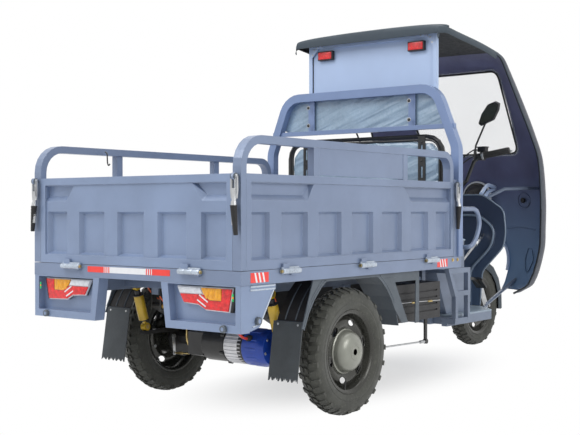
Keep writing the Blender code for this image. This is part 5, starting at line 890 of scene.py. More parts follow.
def eased(stations, steps):
    """Stations between the given ones, on a curve through them paced by the distance between them."""
    points = [Vector(station) for station in stations]
    marks = [0.0]
    for first, second in zip(points, points[1:]):
        marks.append(marks[-1] + (second - first).length)

    def slope(k):
        a, b = max(k - 1, 0), min(k + 1, len(points) - 1)
        return (points[b] - points[a]) / (marks[b] - marks[a])

    made = []
    for k in range(len(points) - 1):
        width = marks[k + 1] - marks[k]
        for step in range(steps):
            t = step / steps
            first = points[k] * (2 * t**3 - 3 * t**2 + 1) + slope(k) * width * (t**3 - 2 * t**2 + t)
            made.append(first + points[k + 1] * (3 * t**2 - 2 * t**3) + slope(k + 1) * width * (t**3 - t**2))
    return made + [points[-1]]


def mirror_row(row):
    return [Vector((-p.x, p.y, p.z)) for p in reversed(row)]


def nose_row(station, columns=22):
    """The shell's section at a station, from the right edge over the middle to the left edge."""
    edge_x, edge_y, edge_z, middle_y, middle_z = station
    right = []
    for step in range(columns + 1):
        turn = math.pi / 2 * step / columns
        across = math.cos(turn) ** (2 / FAIRING_POWER) if step < columns else 0.0
        ahead = math.sin(turn) ** (2 / FAIRING_POWER)
        y, z = edge_y + (middle_y - edge_y) * ahead, edge_z + (middle_z - edge_z) * ahead
        right.append(Vector((edge_x * across, y, z)))
    return right + mirror_row(right[:-1])


def sheet(rows, wall, start=0.0):
    """A closed sheet of that wall inside the rows, from an offset below them."""
    last, end = len(rows) - 1, len(rows[0]) - 1

    def inward(r, c):
        along = rows[min(r + 1, last)][c] - rows[max(r - 1, 0)][c]
        return along.cross(rows[r][min(c + 1, end)] - rows[r][max(c - 1, 0)]).normalized()

    layers = []
    for depth in (start, start + wall):
        layers.append([[p + inward(r, c) * depth for c, p in enumerate(row)] for r, row in enumerate(rows)])
    return Shape().rows([first + second[::-1] for first, second in zip(*layers)], True, True)


def window(grow=0.0):
    """The windscreen's rounded outline, grown all round."""
    (a, low), (b, _), (c, _), (d, high) = WINDOW_CORNERS
    grown = [(a, low - grow), (b + grow, low - grow), (c + grow, high + grow), (d, high + grow)]
    right = rounded_flat(grown, 0.045 + grow, 8)[1:-1]
    return right + [(-x, z) for x, z in reversed(right)]


def nose_y(x, z):
    """Where the fairing's outside lies, ahead of this place."""
    for low, high in zip(FAIRING_STATIONS, FAIRING_STATIONS[1:]):
        if z <= high[2] or high is FAIRING_STATIONS[-1]:
            t = min(1.0, max(0.0, (z - low[2]) / (high[2] - low[2])))
            half, edge, nose = (low[k] * (1 - t) + high[k] * t for k in (0, 1, 3))
            share = min(1.0, abs(x) / half)
            return edge + (nose - edge) * (1 - share**FAIRING_POWER) ** (1 / FAIRING_POWER)


def on_nose(outline, depth):
    """The (x, z) outline laid on the fairing, that far behind its outside."""
    return [(x, nose_y(x, z) - depth, z) for x, z in outline]


arch = rounded_flat(ARCH_CORNERS, 0.07, 8)[:-1]
arch_loop = arch + [(-x, z) for x, z in reversed(arch)]


def make_fairing():
    """The fairing with its window, lamp hole and wheel arch, and the pane behind the window."""
    rows = [nose_row(station) for station in eased(FAIRING_STATIONS, 5)]
    cuts = Shape().prism(window(), 2.32, 3.10, "Y").prism(arch_loop, 2.50, 3.10, "Y")
    cuts.rod((0, 2.60, 0.920), (0, 3.10, 0.920), 0.079, 64)
    shell = sheet(rows, SHELL_WALL).carve(cuts)
    shell.done("front_fairing_shell", NAVY_SHELL, replaces=("front_fairing",), angle=40)
    cut = Shape().prism(window(0.014), 2.20, 3.10, "Y")
    pane = sheet(rows, 0.004, SHELL_WALL + 0.0003).carve(cut, "INTERSECT")
    pane.done("windscreen_pane", GLASS, replaces=("windscreen",), angle=40)


def roof_rows():
    """The roof's sections from front to rear, with turned-down sides and a rear lip."""
    rows = []
    for station in eased(ROOF_STATIONS, 6):
        half, y, edge = station[:3]
        turned_down = ((0.001, 0.030), (0.004, 0.022), (0.004, 0.010))
        right = [Vector((half + out, y, edge - drop)) for out, drop in turned_down]
        rows.append(right + nose_row(station) + mirror_row(right))
    rear, edge = rows[-1], ROOF_STATIONS[-1][2]
    rows.append([Vector((p.x * 0.996, p.y - 0.006, p.z - 0.004)) for p in rear])
    rows.append([Vector((p.x * 0.992, p.y - 0.0105, p.z - 0.013 - 0.3 * max(0, p.z - edge))) for p in rear])
    rows.append([Vector((p.x * 0.990, p.y - 0.008, min(p.z - 0.030, edge - 0.030))) for p in rear])
    return rows


def trim_cab():
    """The windscreen's seal, the roof's raised rim, the wheel arch's tube and the fairing's own fixings."""
    Shape().tube(on_nose(window(), 0.0045), 0.0052, 10, True).done("windscreen_seal", GRIP_RUBBER)
    rear = [row for row in roof_rows() if row[10].y < 1.70][0]
    rim = Shape().tube([p + Vector((0, 0, 0.002)) for p in rear[4:-4]], 0.0072, 10)
    rim.done("cab_roof_rim", GREY_SHELL)
    tube = Shape().tube(on_nose([(x, z) for x, z in arch_loop if z > 0.42], 0.015), 0.0085)
    tube.done("fairing_arch_tube", PALE_PAINT)
    braces = Shape()
    for rise in (0.0, 0.045):
        line = [(0.300, 2.312, 0.885 + rise), (0.250, 2.480, 0.940 + rise)]
        braces.tube(rounded(line + [(0.136, 2.800, 0.968 + rise * 0.2)], 0.12), 0.0105)
    braces.mirrored().done("fairing_braces", PALE_PAINT)
    ridges = Shape().tube(rounded(on_nose(BADGE_CORNERS, 0.0048), 0.018, 5, True), 0.0030, 8, True)
    xs = [0.17 + 0.02 * k for k in range(12)]
    ridges.tube(on_nose([(x, 0.745 - 0.12 * abs(x - 0.26)) for x in xs], 0.0048), 0.0026, 8)
    ridges.tube(on_nose([around(KNOB, 0.044, turn) for turn in turns(32)], 0.0046), 0.0032, 8, True)
    ridges.mirrored().done("fairing_ridges", NAVY_SHELL)
    x, z = KNOB
    y = nose_y(x, z)
    knobs = Shape().ball((x, y - 0.020, z), 0.0150).rod((x, y - 0.003, z), (x, y - 0.022, z), 0.008, 16)
    knobs.mirrored().done("fairing_knobs", BLACK_PLASTIC)
    side = [nose_row(station, 4)[0] for station in eased(FAIRING_STATIONS, 3)]
    edge = Shape().tube([(p.x - 0.004, p.y - 0.001, p.z) for p in side], 0.0058, 8)
    edge.mirrored().done("fairing_edge_rim", GREY_SHELL)


def make_headlight():
    """The ring outside the fairing, the bowl behind it, the bulging lens and its bezel."""
    ring = [(0.079, 2.834), (0.092, 2.832), (0.0945, 2.836), (0.094, 2.842), (0.079, 2.843)]
    Shape().turned(ring, LAMP_PLACE, "Y", 64).done("headlight_ring", PALE_RING)
    bowl = [(0, 2.764), (0.020, 2.764), (0.040, 2.772), (0.074, 2.828), (0.070, 2.829), (0, 2.829)]
    bowl = Shape().turned(bowl, LAMP_PLACE, "Y", 48).rod((0, 2.763, 0.92), (0, 2.745, 0.92), 0.017)
    bowl.rod((0, 2.748, 0.92), (0, 2.738, 0.90), 0.010, 14).done("headlight_bowl", BLACK_PLASTIC)
    lens = [(0, 2.9066), (0.031, 2.9046), (0.0605, 2.8936), (0.0745, 2.8768), (0.0745, 2.8690), (0, 2.8690)]
    Shape().turned(lens, LAMP_PLACE, "Y", 72).done("headlight_lens", CLEAR_LENS, slot="lamp_glass")
    bezel = [(0.0735, 2.8700), (0.0755, 2.8775), (0.0788, 2.8745), (0.0788, 2.8670)]
    Shape().turned(bezel, LAMP_PLACE, "Y", 72).done("headlight_bezel", CHROME, slot="lamp_glass")


def trim_partition():
    """The panel's screws, hinges and beads, and its two lamps under the roof."""
    rear = 1.680
    screws = Shape()
    for x, z in ((0.352, 1.690), (0.362, 1.664), (0.336, 1.700)):
        screws.bolt((x, rear - 0.001, z), (0, -1, 0), 0.0032)
    for x in (0.300, 0.324):
        screws.bolt((x, rear - 0.003, 1.703), (0, -1, 0), 0.0028)
    screws.mirrored().done("partition_screws", ZINC)
    hinges = Shape().box((0.290, 0.334), (rear - 0.003, rear), (1.697, 1.712), 0.001)
    hinges.rod((0.292, rear - 0.004, 1.7115), (0.332, rear - 0.004, 1.7115), 0.0045, 16)
    hinges.mirrored().done("partition_hinges", PALE_PAINT, slot="partition_paint")
    housings = Shape().box((0.228, 0.322), (rear - 0.012, rear + 0.010), (1.628, 1.677), 0.004)
    housings.mirrored().done("high_lamp_housings", BLACK_PLASTIC)
    lenses = Shape().box((0.234, 0.316), (rear - 0.0165, rear - 0.010), (1.634, 1.671), 0.003)
    for k in range(6):
        for z in (1.643, 1.662):
            lenses.ball((0.242 + k * 0.0133, rear - 0.0160, z), 0.0042, (1, 0.5, 1))
    lenses.mirrored().done("high_lamp_lenses", RED_LENS)
    beads = Shape().tube([(0.3655, rear + 0.0085, 1.428), (0.3655, rear + 0.0085, 1.690)], 0.0022, 8)
    beads.mirrored().done("partition_beads", GRIP_RUBBER)


def trim_guard():
    """The straps' bolts on the guard and on the seat's back, their washers, and the back's inner tube."""
    bolts, washers = Shape(), Shape()
    for z in (1.280, 1.372):
        washers.rod((0.303, 1.5625, z), (0.303, 1.5595, z), 0.0105, 24)
        bolts.ball((0.303, 1.5600, z), 0.0082, (1, 0.55, 1))
    for z in (0.985, 1.082, 1.172):
        bolts.ball((0.348, 1.6025, z), 0.0050, (1, 0.5, 1))
    bolts.bolt((0.541, 1.560, 0.700), (0, -1, 0), 0.006)
    bolts.mirrored().done("strap_bolts", BLACK_STEEL)
    washers.mirrored().done("strap_washers", ZINC)
    half, low, high = 0.444, 0.716, 1.183
    loop = [(0.0, low), (half, low), (half, high), (-half, high), (-half, low), (0.0, low)]
    back = Shape().tube(rounded([(x, 1.6125, z) for x, z in loop], 0.075, 8)[:-1], 0.0062, 10, True)
    back.done("seat_back_inner_tube", BLACK_STEEL)


make_fairing()
sheet(roof_rows(), 0.006).done("cab_roof_shell", GREY_SHELL, replaces=("cab_roof",), angle=40)
trim_cab()
make_headlight()
trim_partition()
trim_guard()


# Lamps, tapes and reflectors

LAMP_RIM = [(0.235, 0.563), (0.512, 0.563), (0.494, 0.474), (0.380, 0.477), (0.345, 0.497), (0.272, 0.498)]
LAMP_BACK = [(0.235, 0.563), (0.524, 0.563), (0.506, 0.474), (0.380, 0.477), (0.345, 0.497), (0.272, 0.498)]
LAMP_CLEAR = [(0.2405, 0.5595), (0.352, 0.5595), (0.366, 0.537), (0.2525, 0.537)]
LAMP_AMBER = [(0.3585, 0.5595), (0.4570, 0.5595), (0.4570, 0.5150), (0.4010, 0.5150), (0.3720, 0.5350)]
LAMP_RED = [
    (0.2540, 0.534), (0.3690, 0.534), (0.3995, 0.5120), (0.4600, 0.5120), (0.4600, 0.5595), (0.5075, 0.5595),
    (0.4905, 0.4780), (0.3815, 0.4810), (0.3460, 0.5010), (0.2735, 0.5020),
]
LAMP_BARS = [
    [(0.3500, 0.5310), (0.3525, 0.5355), (0.3945, 0.5105), (0.3920, 0.5060)],
    [(0.3400, 0.5125), (0.3425, 0.5170), (0.3845, 0.4940), (0.3820, 0.4895)],
]
# the rear strip sits a little to the left of the middle
TAPE_SHIFT = -0.010
TAPE_HEIGHT = (0.5965, 0.6195)


def make_lamp(side, name):
    """A tail lamp: clear rim on a dark housing, three fields, and what shines through them."""
    for word, look, outline, depth, bevel, node in (
        ("rim", CLEAR_LENS, LAMP_RIM, (0.0195, 0.0345), 0.002, (name,)),
        ("housing", BLACK_PLASTIC, LAMP_BACK, (0.0235, 0.0347), 0.002, ()),
        ("clear", CLEAR_LENS, LAMP_CLEAR, (0.0145, 0.0205), 0.0018, ()),
        ("amber", AMBER_LENS, LAMP_AMBER, (0.0145, 0.0205), 0.0018, ()),
        ("red", RED_LENS, LAMP_RED, (0.0145, 0.0205), 0.0018, ()),
    ):
        plate = Shape().prism([(side * x, z) for x, z in outline], *depth, "Y", bevel)
        plate.done(f"{name}_{word}", look, slot="lamp_red", replaces=node)
    lobes, bars = Shape(), Shape()
    for x in (0.3870, 0.4110, 0.4350):
        lobes.ball((side * x, 0.0150, 0.5390), 0.0100, (1, 0.35, 1.9))
    lobes.done(f"{name}_lobes", AMBER_LENS)
    for bar in LAMP_BARS:
        bars.prism([(side * x, z) for x, z in bar], 0.0136, 0.0150, "Y")
    bars.done(f"{name}_bars", WHITE_TAPE, slot="lamp_red")


def make_tapes():
    """The strip on the rear beam, the striped reflectors on the side beams, and the aprons' markers."""
    red, white = Shape(), Shape()
    for low, high in ((0.051, 0.153), (1.376, 1.471)):
        red.box((0.5645, 0.5657), (low, high), (0.582, 0.618))
        for k in range(3):
            start = low + 0.020 + k * 0.022
            stripe = [(start + 0.010, 0.582), (start + 0.019, 0.582), (start + 0.009, 0.618), (start, 0.618)]
            white.prism(stripe, 0.5650, 0.5660, "X")
    red.mirrored()
    white.mirrored()
    depth = (-0.0006, 0.0012)
    for side in (-1, 1):
        red.box((side * 0.133 + TAPE_SHIFT, side * 0.227 + TAPE_SHIFT), depth, TAPE_HEIGHT)
        for k in range(3):
            near = 0.101 + k * 0.011
            red.box((side * near + TAPE_SHIFT, side * (near + 0.0055) + TAPE_SHIFT), depth, TAPE_HEIGHT)
    white.box((TAPE_SHIFT - 0.133, TAPE_SHIFT + 0.133), (-0.0002, 0.0012), TAPE_HEIGHT)
    red.done("red_tapes", RED_TAPE)
    white.done("white_tapes", WHITE_TAPE)
    x = (0.5225, 0.5290)
    green = Shape().box(x, (-0.0012, 0.0010), (0.5345, 0.5445)).box(x, (-0.0012, 0.0010), (0.5175, 0.5275))
    green.mirrored().done("green_markers", GREEN_TAPE)
    amber = Shape().box(x, (-0.0010, 0.0010), (0.5275, 0.5345))
    amber.mirrored().done("amber_markers", AMBER_LENS, slot="bed_paint")


def make_sensors():
    """The round sensors in the aprons, with their dark mouths."""
    rear = [(0.0075, -0.0125), (0.0115, -0.0128), (0.0136, -0.011), (0.0142, 0.0), (0.0075, 0.0)]
    outer = [(0.0085, 0.0125), (0.0125, 0.0128), (0.0145, 0.011), (0.0155, 0.0), (0.0085, 0.0)]
    rings = Shape().turned(rear, (0.485, 0, 0.418), "Y", 40).turned(outer, (0.563, 0.091, 0.444), "X", 40)
    rings.mirrored().done("sensor_rings", FENDER, slot="black_plastic")
    mouths = Shape().rod((0.485, -0.0090, 0.418), (0.485, 0.001, 0.418), 0.0078, 24)
    mouths.rod((0.562, 0.091, 0.444), (0.5725, 0.091, 0.444), 0.0088, 24)
    mouths.mirrored().done("sensor_mouths", GRIP_RUBBER)


for side, word in SIDES:
    make_lamp(side, f"tail_lamp_{word}")
make_tapes()
make_sensors()


# Hinges, latches and hooks

# the latches' flat side bars: half thickness and half width
LATCH_BAR = [(-0.0020, -0.0062), (0.0020, -0.0062), (0.0020, 0.0062), (-0.0020, 0.0062)]
GRIP_PITCH = 0.0062


def make_hinge(name, body, centre, along, out):
    """A rolled hinge: three knuckles on a brass pin, and a short leaf above."""
    centre, along, out = Vector(centre), Vector(along), Vector(out)
    knuckles, pin = Shape(), Shape()
    for low, high in ((-0.0535, -0.0185), (-0.0175, 0.0175), (0.0185, 0.0535)):
        knuckles.rod(centre + along * low, centre + along * high, 0.0108, 24, None, 0.001)
    leaf = centre - out * 0.004 + Vector((0, 0, 0.0095))
    corner = along * 0.050 + out * 0.0035 + Vector((0, 0, 0.006))
    knuckles.box(*zip(leaf - corner, leaf + corner), 0.0012)
    for end in (-1, 1):
        pin.rod(centre + along * end * 0.053, centre + along * end * 0.0575, 0.0068, 18, None, 0.0008)
    knuckles.done(f"{name}_knuckles", HINGE_PAINT, body)
    pin.done(f"{name}_pin", BRASS, body)


def make_latch(name, pin, outward, across, lean):
    """The clevis' rounded loop and disc, and the ribbed black grip."""
    pin, outward, across = Vector(pin), Vector(outward), Vector(across)
    down = Vector((0, 0, -1))
    neck, discs, grip = Shape(), Shape(), Shape()
    for side in (-across, across):
        neck.rod(pin + side * 0.0092, pin + side * 0.0130, 0.0062, 20, None, 0.0008)
        discs.rod(pin + side * 0.0068, pin + side * 0.0094, 0.0125, 28, None, 0.0010)
        bar = [pin + side * 0.0103, pin + side * 0.0112 + down * 0.050, pin + side * 0.0080 + down * 0.078]
        neck.tube(bar, 0, section=LATCH_BAR)
    neck.rod(pin + down * 0.052, pin + down * 0.066, 0.0105, 20, 0.0090)
    neck.rod(pin + down * 0.066, pin + down * 0.100 + outward * 0.003, 0.0085, 18)
    neck.rod(pin + down * 0.088 + outward * 0.003, pin + down * 0.104 + outward * 0.004, 0.0100, 20, 0.0112)
    start = pin + down * 0.102 + outward * 0.004
    for k in range(17):
        here = start + down * (GRIP_PITCH * k) + across * lean * 0.0006 * k
        size = 0.0132 - 0.00028 * k
        grip.rod(here, here + down * 0.0038, size, 22, size, 0.0006)
        grip.rod(here + down * 0.0030, here + down * 0.0066, size - 0.0014)
    neck.done(f"{name}_neck", ZINC, name)
    discs.done(f"{name}_discs", FENDER, name, "bed_paint")
    grip.done(f"{name}_grip", GRIP_RUBBER, name)


def make_hooks():
    """J hooks on the left board's rail, and the bolts of the front corner plates."""
    hooks, bolts = Shape(), Shape()
    for y in (0.339, 1.215):
        bends = [(-0.505, 1.098), (-0.493, 1.092), (-0.491, 1.050), (-0.485, 1.036), (-0.475, 1.044)]
        hooks.tube(rounded([(x, y, z) for x, z in bends], 0.010, 5), 0.0030, 10)
    hooks.done("rope_hooks", BLACK_STEEL, "side_board_left", "bare_steel")
    for y in (1.520, 1.566):
        bolts.bolt((0.565, y, 0.6105), (1, 0, 0), 0.0062)
    bolts.mirrored().done("corner_plate_bolts", BRASS)


for side, word in SIDES:
    make_hinge(f"rear_hinge_{word}", "tailgate", (side * 0.3254, -0.0106, 0.617), (1, 0, 0), (0, -1, 0))
for side, word in SIDES:
    for count, y in enumerate((0.273, 0.790, 1.314), 1):
        place = (side * 0.5756, y, 0.617)
        make_hinge(f"side_hinge_{word}_{count}", f"side_board_{word}", place, (0, 1, 0), (side, 0, 0))
for side, word in SIDES:
    make_latch(f"latch_rear_{word}", (side * 0.545, -0.0145, 0.962), (0, -1, 0), (1, 0, 0), side)
    make_latch(f"latch_front_{word}", (side * 0.5795, 1.546, 0.962), (side, 0, 0), (0, 1, 0), -1)
make_hooks()


# Under the bed

MOTOR = (0.475, 0.287)
MOTOR_CENTRE = (0, *MOTOR)
CABLE_RADIUS = 0.005
CABLE_ROUTE = [
    (0.262, 0.395, 0.330), (0.262, 0.384, 0.330), (0.260, 0.364, 0.338), (0.252, 0.336, 0.366),
    (0.240, 0.312, 0.404), (0.228, 0.296, 0.446), (0.220, 0.286, 0.486), (0.218, 0.284, 0.510),
    (0.218, 0.284, 0.5246),
]


def finned(profile, span, radius, count, width, tall):
    """A round body on the motor's axis with ribs along it."""
    shape = Shape().turned(profile, MOTOR_CENTRE, "X", 72)
    for turn in turns(count):
        out = Vector(around((0, 0), 1, turn))
        side = Vector((-out.y, out.x))
        rib = ((radius - 0.002, -1), (radius + tall, -0.6), (radius + tall, 0.6), (radius - 0.002, 1))
        shape.prism([tuple(Vector(MOTOR) + out * r + side * width * w) for r, w in rib], *span, "X")
    return shape


def make_drive():
    """The motor with its flange, finned body and cap, and the cast drive housing on the axle."""
    body = [(0, 0.120), (0.066, 0.120), (0.0708, 0.126), (0.0708, 0.218), (0.066, 0.224), (0, 0.224)]
    finned(body, (0.130, 0.214), 0.0705, 30, 0.0028, 0.0035).done("motor_body", CAST)
    flange = [(0, 0.0005), (0.066, 0.0005), (0.0715, 0.006), (0.0715, 0.118), (0.066, 0.1245), (0, 0.1245)]
    flange = Shape().turned(flange, MOTOR_CENTRE, "X", 72)
    for turn in turns(6, 0.4):
        place = around(MOTOR, 0.0715, turn)
        flange.rod((0.104, *place), (0.1235, *place), 0.0075, 14, None, 0.001)
    flange.done("motor_flange", BLACK_STEEL, slot="motor_blue")
    cap = [(0, 0.219), (0.070, 0.219), (0.0755, 0.225), (0.0755, 0.311), (0.0665, 0.3315), (0, 0.3315)]
    finned(cap, (0.246, 0.298), 0.0755, 12, 0.0060, 0.0016).done("motor_cap", BLUE)
    bolts = Shape()
    for turn in turns(6, 0.3):
        bolts.bolt((0.331, *around(MOTOR, 0.054, turn)), (1, 0, 0), 0.0045)
    bolts.done("motor_cap_bolts", ZINC)
    gland = Shape().rod((0.262, 0.392, 0.330), (0.262, 0.412, 0.330), 0.0115, 24, 0.0130, 0.001)
    gland.done("motor_gland", GRIP_RUBBER)
    gear = [(0, -0.1155), (0.056, -0.1125), (0.0955, -0.081), (0.0985, -0.030), (0.071, -0.003), (0, -0.002)]
    Shape().turned(gear, (0, *REAR_AXLE), "X", 64).done("drive_housing", CAST, slot="black_steel")
    casing = Shape()
    for turn in turns(8):
        casing.bolt((-0.080, *around(REAR_AXLE, 0.086, turn)), (-1, 0, 0), 0.006)
    casing.done("drive_housing_bolts", ZINC)


def make_lead():
    """The motor's lead, up behind the right apron."""
    path = [Vector(point) for point in CABLE_ROUTE]
    piece = Shape().tube(path, CABLE_RADIUS, 14).done("motor_lead", RED_CABLE, replaces=("motor_cable",))


def make_springs():
    """U-bolts in yellow zinc, eye bolts, shock sleeves and boots, and the orange wires."""
    bolts, eyes, sleeves, boots = Shape(), Shape(), Shape(), Shape()
    y, z = REAR_AXLE
    bend = 0.0515
    under = [around(REAR_AXLE, bend, math.pi * (1 + k / 12)) for k in range(13)]
    for x in (0.267, 0.333):
        bolts.tube([(x, *p) for p in [(y - bend, 0.360)] + under + [(y + bend, 0.360)]], 0.0056)
        for end in (-bend, bend):
            bolts.bolt((x, y + end, 0.345), (0, 0, 1), 0.0085)
    bolts.mirrored().done("spring_u_bolts", BRASS)
    for shift, eye_z in ((-0.268, 0.425), (-0.268, 0.495), (0.268, 0.425)):
        for face in (-1, 1):
            eyes.bolt((0.300 + face * 0.031, y + shift, eye_z), (face, 0, 0), 0.008)
    top, low = Vector((0.375, 0.400, 0.512)), Vector((0.375, 0.455, 0.330))
    for end in (top, low):
        eyes.rod(end - Vector((0.0155, 0, 0)), end + Vector((0.0155, 0, 0)), 0.0095)
    eyes.mirrored().done("spring_eye_bolts", BRASS)
    sleeves.rod(top.lerp(low, 0.24), top.lerp(low, 0.82), 0.0220, 32, None, 0.003)
    sleeves.mirrored().done("shock_sleeves", YELLOW)
    boots.rod(top.lerp(low, 0.10), top.lerp(low, 0.235), 0.0135, 24, None, 0.002)
    for share in (0.22, 0.83):
        boots.rod(top.lerp(low, share - 0.012), top.lerp(low, share + 0.012), 0.0232, 32, None, 0.002)
    boots.mirrored().done("shock_boots", BLACK_PLASTIC)
    path = [
        (0.262, 0.430, 0.470), (0.255, 0.455, 0.436), (0.262, 0.480, 0.452), (0.300, 0.493, 0.448),
        (0.345, 0.486, 0.456), (0.352, 0.450, 0.500), (0.340, 0.420, 0.530),
    ]
    wires = Shape().tube(rounded(path, 0.03, 5), 0.0028, 8)
    wires.mirrored().done("brake_wires", ORANGE_WIRE)


def make_brakes():
    """The rear brakes' arms and rods, and the wire along the batteries with its turnbuckles."""
    x = 0.398
    arm = [(0.646, 0.276), (0.664, 0.276), (0.668, 0.182), (0.654, 0.182)]
    arms = Shape().prism(arm, x - 0.003, x + 0.003, "X", 0.001)
    arms.rod((x - 0.008, 0.655, 0.268), (x + 0.008, 0.655, 0.268), 0.010)
    arms.rod((x - 0.009, 0.661, 0.190), (x + 0.009, 0.661, 0.190), 0.006, 18)
    arms.mirrored().done("brake_arms", ZINC)
    rods = Shape().tube([(0.392, 0.661, 0.190), (0.300, 0.655, 0.196), (0.130, 0.690, 0.222)], 0.0038, 10)
    rods.rod((0.372, 0.660, 0.1915), (0.345, 0.659, 0.193), 0.0062, 6).mirrored()
    for y in (1.249, 1.391):
        low, high = 0.4305 - (y - 1.1) * 0.016, 0.4300 - (y - 1.1) * 0.018
        rods.rod((0.5185, y - 0.018, low), (0.5185, y + 0.018, high), 0.0048, 6)
    rods.done("brake_rods", BRASS)
    wire = Shape().tube([(0.5185, 1.105, 0.432), (0.5185, 1.300, 0.429), (0.5185, 1.485, 0.424)], 0.0021, 8)
    wire.done("battery_wire", ZINC)


def make_fender_trim():
    """The fenders' pressed ridges and slots, their dark linings, the flaps' bolts and the aprons' ribs."""

    def arc(radius, start, end):
        spread = [math.radians(start + (end - start) * k / 24) for k in range(25)]
        return [around(REAR_AXLE, radius, turn) for turn in spread]

    ridges, ribs, bolts, plates = Shape(), Shape(), Shape(), Shape()
    for radius, start, end in ((0.3600, 158.5, 123), (0.3715, 156, 126), (0.3600, 57, 30)):
        ridges.tube([(0.5488, *p) for p in arc(radius, start, end)], 0.0024, 8)
    for span in ((0.482, 0.520), (0.940, 1.050)):
        ridges.box((0.5480, 0.5502), span, (0.550, 0.5545), 0.0008)
    ridges.mirrored().done("fender_ridges", FENDER)
    linings = Shape().prism(arc(0.3605, 157, 124) + arc(0.3612, 124, 157), 0.4115, 0.5440, "X")
    linings.mirrored().done("fender_linings", LINER)
    for x in (0.450, 0.500):
        ribs.tube([(x, *p) for p in arc(0.3620, 155, 128)], 0.0028, 8)
    ribs.mirrored().done("fender_lining_ribs", FENDER)
    for x in (0.425, 0.522):
        bolts.bolt((x, 0.3885, 0.400), (0, -1, 0.15), 0.0048)
    bolts.mirrored().done("mud_flap_bolts", ZINC)
    for height in (0.5560, 0.5680):
        plates.tube([(0.5630, 0.050, height), (0.5630, 0.192, height)], 0.0040, 8)
    edge = rounded_flat([(0.186, 0.553), (0.108, 0.4335), (0.064, 0.424)], 0.014, 4)
    plates.tube([(0.5630, *p) for p in edge], 0.0032, 8)
    plates.mirrored().done("apron_ribs", HINGE_PAINT)


def make_flap(side, name):
    """A mud flap with its saw-toothed lower edge."""
    flap, teeth = Shape(), Shape()
    flap.bm.from_mesh(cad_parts[name].data)
    bmesh.ops.transform(flap.bm, matrix=STANCE.inverted(), verts=flap.bm.verts)
    for k in range(6):
        start = 0.402 + 0.0237 * k
        notch = [(start + 0.0015, 0.1780), (start + 0.0118, 0.1985), (start + 0.0222, 0.1780)]
        teeth.prism([(side * x, z) for x, z in notch], 0.32, 0.42, "Y")
    flap.carve(teeth).done(f"{name}_sheet", FLAP_RUBBER, replaces=(name,), angle=30)


make_drive()
make_lead()
make_springs()
make_brakes()
make_fender_trim()
for side, word in SIDES:
    make_flap(side, f"mud_flap_{word}")


# Front

GUARD_SECTION = [
    (0.0572, 0.216), (0.0575, 0.250), (0.0540, 0.2610), (0.0440, 0.2662), (0.0220, 0.2680), (0.0060, 0.2682),
    (0.0, 0.2670),
]
MIRROR_FACE = [
    (-0.072, -0.030), (-0.062, -0.044), (0.020, -0.040), (0.062, 0.000), (0.076, 0.030), (0.056, 0.050),
    (0.014, 0.050), (-0.040, 0.012),
]
SHIELD_OUTLINE = [
    (0.0, 0.925), (0.318, 0.925), (0.439, 0.844), (0.451, 0.729), (0.439, 0.647), (0.313, 0.513),
    (0.301, 0.335),
]
SHIELD_BEAD = [(0.0, 0.815), (0.300, 0.815), (0.392, 0.745), (0.375, 0.650), (0.245, 0.520), (0.245, 0.345)]


def make_mudguard():
    """The front mudguard's thin pressed skin."""
    rows = []
    for k in range(37):
        turn = math.radians(-9 + 170 * k / 36)
        row = [Vector((x, *around(FRONT_AXLE, radius, turn))) for x, radius in GUARD_SECTION]
        rows.append(row + mirror_row(row[:-1]))
    sheet(rows, 0.0012).done("front_mudguard_skin", GREY_SHELL, "fork_lower", angle=50)


def grip_ribs(side):
    """Ribs round the grip on that side of the handlebar."""
    ribs = Shape()
    knee, end = Vector((side * 0.352, 2.150, 1.120)), Vector((side * 0.525, 2.185, 1.152))
    half = (end - knee).normalized() * 0.0012
    for k in range(20):
        place = knee.lerp(end, 0.30 + 0.034 * k)
        ribs.rod(place - half, place + half, 0.0176, 24)
    return ribs


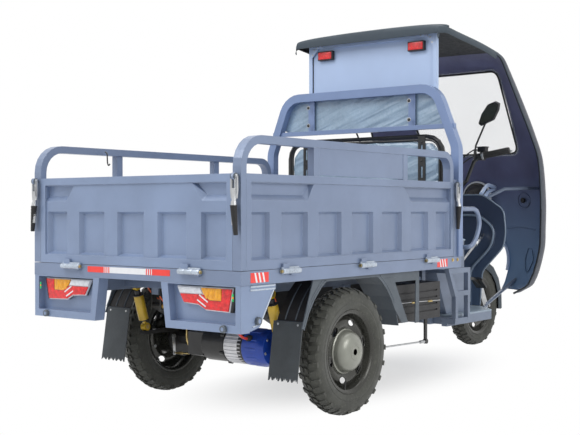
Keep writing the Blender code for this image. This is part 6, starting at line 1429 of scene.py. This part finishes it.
def make_steering():
    """Cables, switch and brake housings, ribbed grips, and the pod's screen."""
    cables = Shape()
    for shift, lift in ((0.0, 0.0), (0.014, 0.03)):
        path = [
            (0.372 + shift, 2.192, 1.126), (0.335 - shift, 2.215, 1.140 + lift), (0.24, 2.28, 1.120 + lift),
            (0.11, 2.345, 1.055 + lift), (0.045, 2.375, 0.975), (0.034 + shift, 2.378, 0.90),
        ]
        cables.tube(rounded(path, 0.08), 0.0034, 8)
    cables.mirrored().done("brake_cables", GRIP_RUBBER, "steering")
    switches = Shape().box((0.356, 0.402), (2.160, 2.198), (1.148, 1.172), 0.004)
    switches.box((0.352, 0.406), (2.158, 2.200), (1.171, 1.1765), 0.002)
    switches.mirrored().done("switch_housings", BLACK_PLASTIC, "steering")
    collars = Shape().rod((0.384, 2.1565, 1.126), (0.397, 2.159, 1.1285), 0.0195, 24, None, 0.002)
    collars.mirrored().done("throttle_housings", ZINC, "steering")
    grip_ribs(-1).done("left_grip_ribs", GRIP_RUBBER, "steering")
    grip_ribs(1).done("throttle_grip_ribs", GRIP_RUBBER, "throttle_grip")
    screen = Shape().box((-0.046, 0.066), (2.349, 2.404), (1.1035, 1.1055), 0.0008)
    screen.done("pod_screen", SCREEN, "steering")
    trim = Shape()
    for x in (-0.052, 0.072):
        trim.box((x - 0.005, x + 0.005), (2.350, 2.404), (1.1030, 1.1062), 0.001)
    trim.rod((0.010, 2.325, 1.090), (0.010, 2.312, 1.086), 0.010)
    trim.done("pod_trim", BLACK_PLASTIC, "steering")


def make_mirror_glass(side, name):
    """The glass in a mirror's shell, tilted with it."""
    tilt = Matrix.Rotation(math.radians(18 * side), 2)
    face = [Vector((side * 0.430, 1.343)) + tilt @ Vector((side * u, v)) * 0.82 for u, v in MIRROR_FACE]
    Shape().prism([tuple(p) for p in face], 2.1368, 2.1382, "Y").done(f"{name}_glass", MIRROR_GLASS, name)


def across_shield(outline, bend, steps, y, radius):
    """A bead along the outline of the shield's right half and its mirror image, in one run."""
    right = [Vector((x, y, z)) for x, z in rounded_flat(outline, bend, steps)]
    return Shape().tube(mirror_row(right) + right[1:], radius, 10)


def make_controls():
    """The shield's light edge and bead, the arm loops, the pedal's ribs and the lever's grip."""
    across_shield(SHIELD_OUTLINE, 0.03, 5, 2.3010, 0.0042).done("shield_edge", SHIELD_EDGE)
    across_shield(SHIELD_BEAD, 0.045, 6, 2.2905, 0.0062).done("shield_ridge", SHIELD_EDGE)
    loop = [
        (0.378, 1.700, 0.655), (0.432, 1.700, 0.655), (0.432, 1.700, 0.848), (0.432, 2.010, 0.848),
        (0.432, 2.048, 0.775), (0.432, 2.000, 0.690), (0.432, 1.945, 0.655), (0.378, 1.945, 0.655),
    ]
    loops = Shape().tube(rounded(loop, 0.050, 8), 0.0118, 16)
    loops.mirrored().done("arm_loops", PAINT, slot="chassis_paint")
    ribs = Shape()
    for k in range(5):
        y, z = 2.132 + k * 0.0115, 0.4880 - k * 0.0088
        ribs.rod((0.345, y, z), (0.399, y, z), 0.0028, 10)
    ribs.done("pedal_ribs", GRIP_RUBBER, "brake_pedal")
    root, tip = Vector((0.327, 1.998, 0.546)), Vector((0.327, 2.285, 0.711))
    along = (tip - root).normalized()
    grip = Shape().rod(tip - along * 0.105, tip + along * 0.004, 0.0128, 24, 0.0112, 0.003)
    grip.done("parking_lever_grip", CHROME, "parking_lever")


make_mudguard()
make_steering()
for side, word in SIDES:
    make_mirror_glass(side, f"mirror_{word}")
make_controls()
